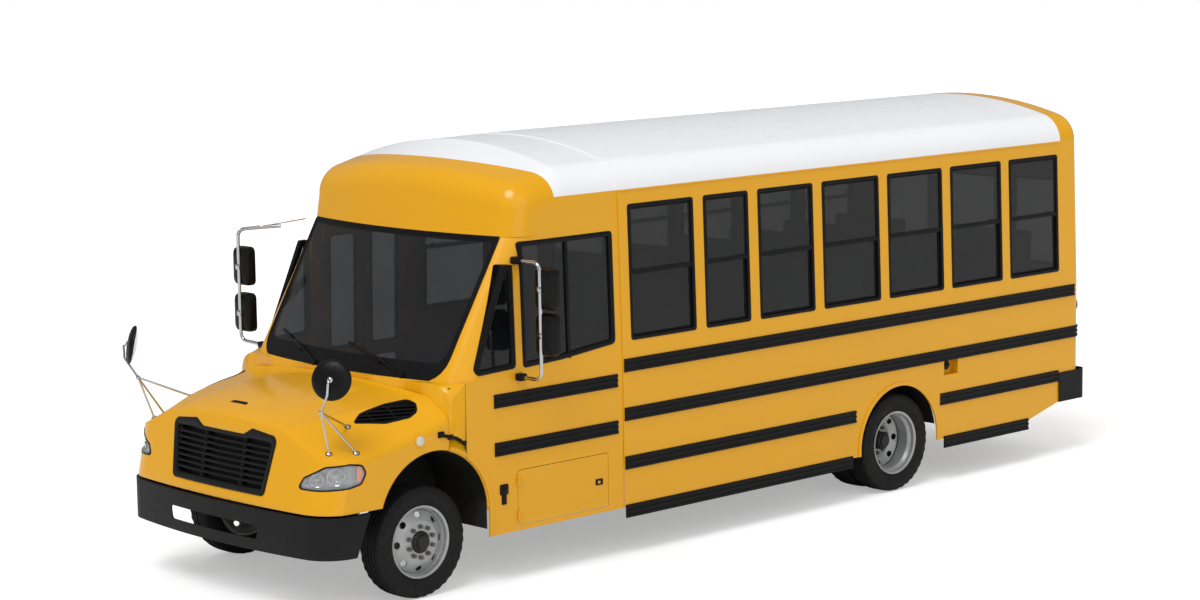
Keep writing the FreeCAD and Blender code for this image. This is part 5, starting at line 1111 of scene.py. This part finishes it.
mirrors = ((1370, 866, 1990), (1370, 866, 1660), (-1560, 386, 1960), (-1560, 386, 1600))
piece("side_mirror_heads", [mirror_part(*place, MIRROR_SHELL) for place in mirrors], "mirror_shell", "bus_body",
      "mirror_black", ["side_mirrors"])
piece("side_mirror_faces", [mirror_part(*place, MIRROR_GLASS) for place in mirrors], "mirror_face", "bus_body",
      "mirror_black")
posts = [tube("p", [(1196, 860, 2330), (1455, 860, 2330), (1455, 860, 1490), (1222, 860, 1490)], 14, 62, 16),
         tube("p", [(-1178, 583, 2428), (-1455, 380, 2400), (-1455, 380, 1540), (-1203, 414, 1522)], 14, 62, 16),
         tube("p", [(-1446, 380, 2394), (-1060, 735, 2484)], 9, 0, 12)]
posts += [block("p", (x - 24, x + 24), (y - 18, y + 10), (z - 22, z + 22), 4.0)
          for x, y, z in ((1455, 860, 2140), (1455, 860, 1810), (-1455, 380, 2110), (-1455, 380, 1750))]
piece("side_mirror_posts", posts, "chrome", "bus_body", "aluminium")
feet = [((1168, 1262), (832, 890), (2304, 2356)), ((1205, 1274), (828, 892), (1464, 1516)),
        ((-1262, -1186), (386, 446), (1498, 1546))]
piece("side_mirror_brackets", [block("b", *foot, 9.0) for foot in feet], "black_trim")


# ---------------------------------------------------------------- doors

KNUCKLE = [(-13, 4.4), (-13, 9), (13, 9), (13, 4.4)]
KNUCKLE_OUT, HINGE_THICK, DOOR_THICK, LEAF_MARGIN = 9.5, 3.0, 34, 66
SEAL_PROFILE = [(-0.25, -2), (-0.25, 2), (0.1, 5), (0.8, 4), (1, 0), (1, -26), (0, -26)]


def door_leaf(name, y, hinge_y, toward):
    """One leaf of the entry door: its pressed panel, rubber edges, two panes and three hinges."""
    panel = prism("d", "side", rounded(rectangle(y, (430, 2412), 14.0)), -DOOR_THICK, 0)
    openings = [rectangle((y[0] + LEAF_MARGIN, y[1] - LEAF_MARGIN), z, 44.0) for z in ((616, 1334), (1416, 2324))]
    for opening in openings:
        boolean(panel, prism("c", "side", rounded(opening), -60, 20))
    panel = leaned(bevelled(panel, 2.5), CAB_STEP)
    seals = [casing("s", opening, inset(opening, 16, 24.0), SEAL_PROFILE, on_wall(CAB_STEP), 90)
             for opening in openings]
    panes = [pane(inset(opening, 10, 30.0), -17, CAB_STEP) for opening in openings]
    edge = (y[1], y[1] + 3) if toward > 0 else (y[0] - 3, y[0])
    seals.append(leaned(block("s", (-30, 3), edge, (436, 2404), 0.8), CAB_STEP))
    hinges = []
    for z in (560, 980, 1400):
        middle = wall_x(z, CAB_STEP) + KNUCKLE_OUT
        hinges.append(lathe("h", KNUCKLE, (middle, hinge_y, z), (0, 0, 1), 20))
        hinges.append(block("h", (middle - KNUCKLE_OUT, middle - KNUCKLE_OUT + HINGE_THICK),
                            sorted((hinge_y, hinge_y + toward * 40)), (z - 13, z + 13), 0.8))
    for items, label, look, hidden in (([panel] + hinges, "_panel", "yellow_paint", [name]),
                                       (seals, "_rubber", "black_trim", []),
                                       (panes, "_glass", "tinted_glass", [])):
        left = joined("d", items)
        done(mirror_copy(left, name + label), look, name, replaces=hidden)
        remove(left)


door_leaf("entry_door_front", (968, 1376), 964, 1)
door_leaf("entry_door_rear", (1384, 1792), 1796, -1)

rear_door = rounded(rectangle((-372, 372), (958, 2472), 30.0))
panel = prism("d", "front", rear_door, BODY_REAR - DOOR_THICK, BODY_REAR)
seals, panes = [], []
for z in ((1080, 1480), (1640, 2380)):
    opening = rectangle((-282, 282), z, 40.0)
    boolean(panel, prism("c", "front", rounded(opening), BODY_REAR - 60, BODY_REAR + 20))
    seals.append(casing("s", inset(opening, -6, 40), inset(opening, 16, 24.0), RUBBER_PROFILE, on_rear, LONG_RUN))
    panes.append(rear_pane(inset(opening, 8, 30.0)))
door_parts = [bevelled(panel, 2.5)]
for z in (1100, 1560, 2320):
    door_parts.append(lathe("h", KNUCKLE, (-376, BODY_REAR + KNUCKLE_OUT, z), (0, 0, 1), 20))
    door_parts.append(block("h", (-376, -336), (BODY_REAR, BODY_REAR + HINGE_THICK), (z - 13, z + 13), 0.8))
piece("rear_door_panel", door_parts, "yellow_paint", "rear_door", replaces=["rear_door"])
piece("rear_door_rubber", seals, "black_trim", "rear_door")
piece("rear_door_glass", panes, "tinted_glass", "rear_door")
handle = tube("h", [(312, BODY_REAR, 1578), (312, BODY_REAR + 24, 1578), (312, BODY_REAR + 24, 1450)], 8, 14, 12)
plate = block("h", (292, 332), (BODY_REAR - 1, BODY_REAR + 4), (1540, 1606), 2.0)
piece("rear_door_handle", [handle, plate], "chrome", "rear_door", "aluminium")


# ---------------------------------------------------------------- seats

def swollen(x, y, z, radius, crown, cuts):
    """A closed pad between low and high corners, with rounded edges and crowned faces."""
    mesh = bmesh.new()
    half = [(b - a) / 2 for a, b in (x, y, z)]
    middle = [(a + b) / 2 for a, b in (x, y, z)]
    thin = half.index(min(half))
    wide = [n for n in range(3) if n != thin]
    verts = {}

    def vert(key):
        if key not in verts:
            share = [(2 * n / c - 1) for n, c in zip(key, cuts)]
            place = [a * b for a, b in zip(share, half)]
            core = [max(-(h - radius), min(h - radius, a)) for a, h in zip(place, half)]
            arm = Vector([a - b for a, b in zip(place, core)])
            if arm.length > 1e-6:
                arm = arm.normalized() * radius
            place = [a + b for a, b in zip(core, arm)]
            place[thin] += crown * share[thin] * ((1 - share[wide[0]] ** 4) * (1 - share[wide[1]] ** 4))
            verts[key] = mesh.verts.new(P(*[a + b for a, b in zip(place, middle)]))
        return verts[key]

    for axis in range(3):
        u, v = [n for n in range(3) if n != axis]
        for level in (0, cuts[axis]):
            for a in range(cuts[u]):
                for b in range(cuts[v]):
                    corners = []
                    for da, db in ((0, 0), (1, 0), (1, 1), (0, 1)):
                        key = [0, 0, 0]
                        key[axis], key[u], key[v] = level, a + da, b + db
                        corners.append(vert(tuple(key)))
                    mesh.faces.new(corners)
    bmesh.ops.recalc_face_normals(mesh, faces=mesh.faces)
    data = bpy.data.meshes.new("pad")
    mesh.to_mesh(data)
    mesh.free()
    return link("pad", data)


PUFF_PRESSURE, PUFF_FRAMES, PUFF_MOST = 4.0, 20, 0.012     # the most that a point may move, in metres


def puffed(item):
    """Lets air pressure shape a pad as cloth, and keeps every point near its start."""
    before = [vert.co.copy() for vert in item.data.vertices]
    settings = item.modifiers.new("cloth", "CLOTH").settings
    settings.use_pressure = True
    settings.uniform_pressure_force = PUFF_PRESSURE
    settings.effector_weights.gravity = 0.0
    settings.tension_stiffness = 20.0
    settings.quality = 5
    scene = bpy.context.scene
    for number in range(1, PUFF_FRAMES + 1):
        scene.frame_set(number)
    applied(item)
    for vert, old in zip(item.data.vertices, before):
        move = vert.co - old
        if move.length > PUFF_MOST:
            vert.co = old + move.normalized() * PUFF_MOST
    scene.frame_set(1)
    return item


def pad(x, y, z, radius, crown, cuts, depth, seams):
    """A puffed pad with sewn lines pressed in; seams are (axis, places, half width)."""
    item = modified(puffed(swollen(x, y, z, radius, crown, cuts)), "SUBSURF", levels=1)
    for vert in item.data.vertices:
        place = drawn(vert.co)
        share = sum(max(max(0.0, 1 - abs(place[axis] - line) / width) for line in lines)
                    for axis, lines, width in seams)
        if share > 0:
            vert.co -= vert.normal * (depth * share / 1000)
    return item


def reclined(item, height, lean):
    """Leans a seat's back rearward from a height in metres."""
    for vert in item.data.vertices:
        vert.co.y += (vert.co.z - height) * lean
    return item


def upholstered(item, replaces=()):
    done(item, "seat_vinyl", "bus_body", "seat_vinyl", replaces, 60.0)


FLOOR_Z, BENCH_X, BENCH_FIRST_Y, BENCH_PITCH, BENCH_ROWS = 940, (289.0, 1129.0), 2650.0, 700.0, 7


def seat_frame(back_y):
    """The steel legs and rails under a bench."""
    parts = []
    front, rear = back_y - 350, back_y - 30
    for x in (BENCH_X[0] + 140, BENCH_X[1] - 140):
        parts.append(tube("l", [(x, front, FLOOR_Z), (x, front, 1262), (x, rear, 1262), (x, rear, FLOOR_Z)],
                          13, 40, 10))
        for y in (front, rear):
            parts.append(block("l", (x - 30, x + 30), (y - 30, y + 30), (FLOOR_Z, FLOOR_Z + 6), 1.5))
    for y in (front + 10, rear - 10):
        parts.append(tube("l", [(BENCH_X[0] + 30, y, 1268), (BENCH_X[1] - 30, y, 1268)], 11, 0, 10))
    return joined("l", parts)


# axis, places along it, and half width
SIDE_SEAMS, DRIVER_SEAMS = (0, (322, 1096), 10), (0, (420, 700), 12)

cushion = pad(BENCH_X, (-412.0, -8.0), (1278, 1392), 34, 7, (26, 14, 5), 5.0, ((1, (-372,), 12), SIDE_SEAMS))
back = pad(BENCH_X, (-46.0, 26.0), (1298, 2002), 30, 8, (26, 5, 22), 5.0, ((2, (1905,), 12), SIDE_SEAMS))
reclined(back, 1.29, 0.085)
frames = []
for number in range(BENCH_ROWS):
    back_y = BENCH_FIRST_Y + BENCH_PITCH * number
    frames.append(seat_frame(back_y))
    for item, label in ((cushion, "cushion"), (back, "back")):
        left = moved(item, "bench_%s_left_%d" % (label, number + 1), 0.0, back_y)
        right = mirror_copy(left, "bench_%s_right_%d" % (label, number + 1))
        for half, side in ((left, "left"), (right, "right")):
            upholstered(half, ["passenger_seats_" + side] if number == 0 and label == "cushion" else [])
pair("bench_frames", frames, "chassis_black")
remove(cushion)
remove(back)

cushion = pad((328, 792), (1188, 1652), (1296, 1388), 38, 8, (18, 18, 5), 6.0, (DRIVER_SEAMS, (1, (1240,), 12)))
back = pad((338, 782), (1622, 1700), (1376, 2052), 34, 9, (18, 5, 24), 6.0, (DRIVER_SEAMS, (2, (1860,), 12)))
cushion.name, back.name = "driver_cushion", "driver_back"
upholstered(cushion, ["driver_seat"])
upholstered(reclined(back, 1.37, 0.15))
pedestal = [block("p", (436, 684), (1266, 1574), (FLOOR_Z, 1120), 10.0),
            block("p", (400, 720), (1220, 1620), (1262, 1294), 6.0)]
for level in range(6):
    out, low = 4 * (level % 2), 1120 + level * 24
    pedestal.append(block("p", (446 - out, 674 + out), (1280, 1560), (low, low + 22), 6.0))
piece("driver_pedestal", pedestal, "black_trim")


# ---------------------------------------------------------------- lamps, latches and small parts

def lamp(place, axis, radius, depth):
    """A round lamp: its domed lens with rings, and the rim round it."""
    lens = [(-4, 0), (-4, radius - 6), (depth * 0.45, radius - 7)]
    for share in (1.0, 0.8, 0.6, 0.4, 0.2):
        out = depth * (1 - 0.45 * share ** 2)
        lens += [(out - 1.2, (radius - 8) * share), (out, (radius - 8) * (share - 0.05))]
    rim = [(-4, radius - 7), (-4, radius), (depth * 0.35, radius), (depth * 0.55, radius - 2),
           (depth * 0.6, radius - 5), (depth * 0.5, radius - 8)]
    return lathe("lens", lens + [(depth, 0)], place, axis, 48), lathe("rim", rim, place, axis, 48)


# across the bus, height, radius and colour
REAR_LAMPS = ((1080, 1290, 90, "red"), (860, 1290, 60, "amber"), (1080, 930, 60, "pale"), (950, 2790, 80, "red"),
              (720, 2830, 80, "amber"))
rear_lenses, rear_rims = {"red": [], "amber": [], "pale": []}, []
for x, z, radius, colour in REAR_LAMPS:
    lens, rim = lamp((x, BODY_REAR + 3, z), (0, 1, 0), radius, 17.0)
    rear_lenses[colour].append(lens)
    rear_rims.append(rim)
pair("rear_lamp_reds", rear_lenses["red"], "red_lens", replaces=["rear_lamps"])
pair("rear_lamp_ambers", rear_lenses["amber"], "amber_lens", slot="red_lens")
pair("rear_lamp_pales", rear_lenses["pale"], "pale_lens", slot="lamp_lens")
pair("rear_lamp_rims", rear_rims, "black_trim")
marker, marker_rim = lamp(*hood_hit((1400, -70, 1152), Vector((-1, 0, 0))), 44, 12.0)
pair("marker_lenses", [marker], "pale_lens", "hood", "lamp_lens")
pair("marker_rims", [marker_rim], "yellow_paint", "hood")

strap = [tube("s", [(1209, 118, 1166), (1219, 150, 1158), (1220, 250, 1128), (1219, 290, 1106), (1210, 312, 1090)],
              13, 18, 12), block("s", (1200, 1224), (92, 146), (1148, 1192), 7.0),
         block("s", (1203, 1225), (180, 226), (1124, 1160), 5.0)]
pair("hood_latches", strap, "black_trim", "hood")
catch = [block("s", (1208, 1220), (318, 352), (1066, 1098), 4.0),
         tube("s", [(1209, 335, 1062), (1222, 335, 1062), (1222, 335, 1036)], 5, 6, 10)]
pair("hood_catches", catch, "black_trim")
grab = [(-118, -716, 6), (-104, -686, 10), (60, -686, 10), (74, -716, 6)]
grab_room = prism("c", "plan", rounded(grab), *HOOD_ROOM)
done(boolean(shell(2.0, 12.0), grab_room, "INTERSECT"), "black_trim", "hood").name = "hood_grab"

paddle = [block("k", (1206, 1224), (660, 738), (650, 728), 14.0),
          block("k", (1206, 1220), (676, 722), (578, 664), 12.0),
          lathe("k", [(0, 0), (0, 20), (5, 19), (7, 12), (7, 0)], (1220, 699, 689), (1, 0, 0), 24)]
piece("paddle_latch", paddle, "black_trim")
plate = block("k", (1209, 1221), (1606, 1674), (580, 625), 4.0)
boolean(plate, block("c", (1211, 1230), (1620, 1648), (592, 613), 3.0))
latch = block("k", (1211, 1223), (1650, 1664), (590, 615), 2.0)
piece("access_latch", [plate, latch], "black_trim", "access_door")
straps = [block("k", (1209, 1216), (846, 886), (z, z + 62), 3.0) for z in (470, 690)]
piece("access_straps", straps, "yellow_paint", "access_door")
filler = [lathe("f", [(-30, 0), (-30, 42), (-2, 42), (0, 40), (2, 36), (2, 12), (10, 11), (11, 0)],
                (1194, 5674, 980), (1, 0, 0), 32), block("f", (1192, 1210), (5640, 5708), (974, 986), 4.0)]
piece("fuel_filler", filler, "black_trim")

# the cowl's joints, and the line above the side windows, as thin strips of painted shade: a darkened yellow that
# stands for the shade in the panel gaps
seams = [block("s", (1206, 1211.9), (y - 2.0, y + 2.0), (1010, 1500), 0.5) for y in (354.0, 1906.0)]
pair("body_gap_shade", seams, "painted_gap_shade", "bus_body", "yellow_paint")
cornice_x, cornice_z = wall_x(2738) + 2, 2738
cornice = tube("s", [(cornice_x, 1912, cornice_z), (cornice_x, 7190, cornice_z)], 4, 0, 8)
pair("cornice", [cornice], "yellow_paint")

# a black panel with its ribs behind the front bumper: painted shade that fills the gap under the hood's lower
# edge, where the floor would show through
path = [(-1120, -560), (-1120, -700, 60), (-900, -836, 60), (900, -836, 60), (1120, -700, 60), (1120, -560),
        (1114, -560), (1114, -697, 56), (897, -830, 56), (-897, -830, 56), (-1114, -697, 56), (-1114, -560)]
gap_shade_sheets = [prism("b", "plan", rounded(path), 560, 706)]
gap_shade_sheets += [block("b", (x - 12, x + 12), (-842, -832), (604, 698), 3.0) for x in range(-800, 801, 200)]
piece("front_gap_shade_panel", gap_shade_sheets, "chassis_black")

# the dashboard's gauges
rims, faces = [], []
for x, radius in ((430, 38), (520, 62), (650, 62), (740, 38)):
    rim = [(-2, 0), (-2, radius), (8, radius), (10, radius - 3), (4, radius - 6), (4, 0)]
    face = [(0, 0), (0, radius - 7), (6, radius - 7), (6, radius * 0.3), (7, radius * 0.2), (7, 0)]
    for profile, items in ((rim, rims), (face, faces)):
        items.append(lathe("g", profile, (x, 618, 1400), (0, 1, 0.25), 40))
piece("gauge_rims", rims, "black_trim")
piece("gauge_faces", faces, "gauge_face", "bus_body", "black_trim")

# the cowl, with its shoulders rounded down towards the hood
shoulder = []
for y, radius in ((354.5, 1.0), (320.0, 42.0), (280.0, 84.0), (240.0, 122.0), (190.0, 160.0), (120.0, 200.0),
                  (40.0, 240.0)):
    ring = [(1290, y, 1570), (CAB_SIDE - radius, y, 1570)]
    for number in range(9):
        angle = math.radians(90 - 90 * number / 8)
        ring.append((CAB_SIDE - radius + radius * math.cos(angle), y, SILL_Z - radius + radius * math.sin(angle)))
    shoulder.append(ring + [(1290, y, SILL_Z - radius)])
cutter = loft("c", shoulder)
cowl = copy_of(NODES["cowl"], "cowl_panel")
cowl.data.materials.clear()
boolean(cowl, mirror_copy(cutter))
boolean(cowl, cutter)
done(cowl, "yellow_paint", "bus_body", replaces=["cowl"], angle=40.0)


# ---------------------------------------------------------------- camera, light and stage

CAMERA_LENS, CAMERA_PLACE = 85.38, (16218.8, -12579.5, 4867.2)
CAMERA_RIGHT, CAMERA_UP = (0.69006, 0.72361, -0.01397), (-0.09121, 0.10610, 0.99016)
SUNS = (("key", 1.5, 28, 58, 20), ("fill", 0.5, 60, 25, 75))     # strength, and the angles in degrees
WORLD_LOW, WORLD_HIGH, GLOSSY_SHARE, FLOOR_GLOW, FLOOR_HALF = 0.62, 1.0, -0.85, 0.38, 60000


def make_camera():
    """The camera at the photograph's viewing angle."""
    data = bpy.data.cameras.new("camera")
    data.sensor_width, data.lens, data.clip_end = 36.0, CAMERA_LENS, 200.0
    camera = link("camera", data)
    right, up = Vector(CAMERA_RIGHT).normalized(), Vector(CAMERA_UP)
    up = (up - right * up.dot(right)).normalized()
    rotation = Matrix((right, up, right.cross(up))).transposed().to_4x4()
    camera.matrix_world = Matrix.Translation(P(*CAMERA_PLACE)) @ rotation
    bpy.context.scene.camera = camera


def make_world():
    """A white surround that gives soft light: straight views see it brightest, and reflections darkest."""
    world = bpy.context.scene.world = bpy.data.worlds.new("world")
    world.use_nodes = True
    t = world.node_tree
    t.nodes.clear()
    path = add(t, "LightPath").outputs
    seen = maths(t, "MAXIMUM", path["Is Camera Ray"], path["Is Transmission Ray"])
    also = maths(t, "MULTIPLY_ADD", path["Is Glossy Ray"], GLOSSY_SHARE, seen)
    strength = add(t, "MapRange", Value=also, To_Min=WORLD_LOW, To_Max=WORLD_HIGH)
    strength.clamp = False
    background = add(t, "Background", Color=(1.0, 1.0, 1.0), Strength=strength.outputs["Result"])
    add(t, "OutputWorld", Surface=background.outputs[0])


def make_floor():
    """A pale floor that keeps the object's shadow and fades into the white surround."""
    corners = [(-FLOOR_HALF, -FLOOR_HALF, 0), (FLOOR_HALF, -FLOOR_HALF, 0), (FLOOR_HALF, FLOOR_HALF, 0),
               (-FLOOR_HALF, FLOOR_HALF, 0)]
    floor = raw("floor", corners, [(0, 1, 2, 3)])
    t, shader = tree("floor_paper")
    speckle = noise(t, coordinates(t), 3.0)
    dressed(t, shader, Base_Color=blend_colours(t, speckle, (0.78, 0.78, 0.78), (0.80, 0.80, 0.80)), Roughness=0.9,
            Specular_IOR_Level=0.1)
    seen = maths(t, "MULTIPLY", add(t, "LightPath").outputs["Is Camera Ray"], FLOOR_GLOW)
    both = add(t, "AddShader")
    feed(t, both.inputs[0], shader.outputs[0])
    feed(t, both.inputs[1], add(t, "Emission", Strength=seen).outputs[0])
    dressed(t, t.nodes["Material Output"], Surface=both.outputs[0])
    paint(floor, "floor_paper")


def make_suns():
    for name, strength, angle, elevation, azimuth in SUNS:
        data = bpy.data.lights.new(name, "SUN")
        data.energy, data.angle = strength, math.radians(angle)
        sun = link(name, data)
        a, e = math.radians(azimuth), math.radians(elevation)
        back = Vector((math.sin(a) * math.cos(e), -math.cos(a) * math.cos(e), math.sin(e)))
        sun.rotation_mode = "QUATERNION"
        sun.rotation_quaternion = back.to_track_quat("Z", "Y")
        sun.location = back * 20


remove(hood_skin)
make_camera()
make_world()
make_floor()
make_suns()
bpy.context.scene.view_settings.view_transform = "Standard"
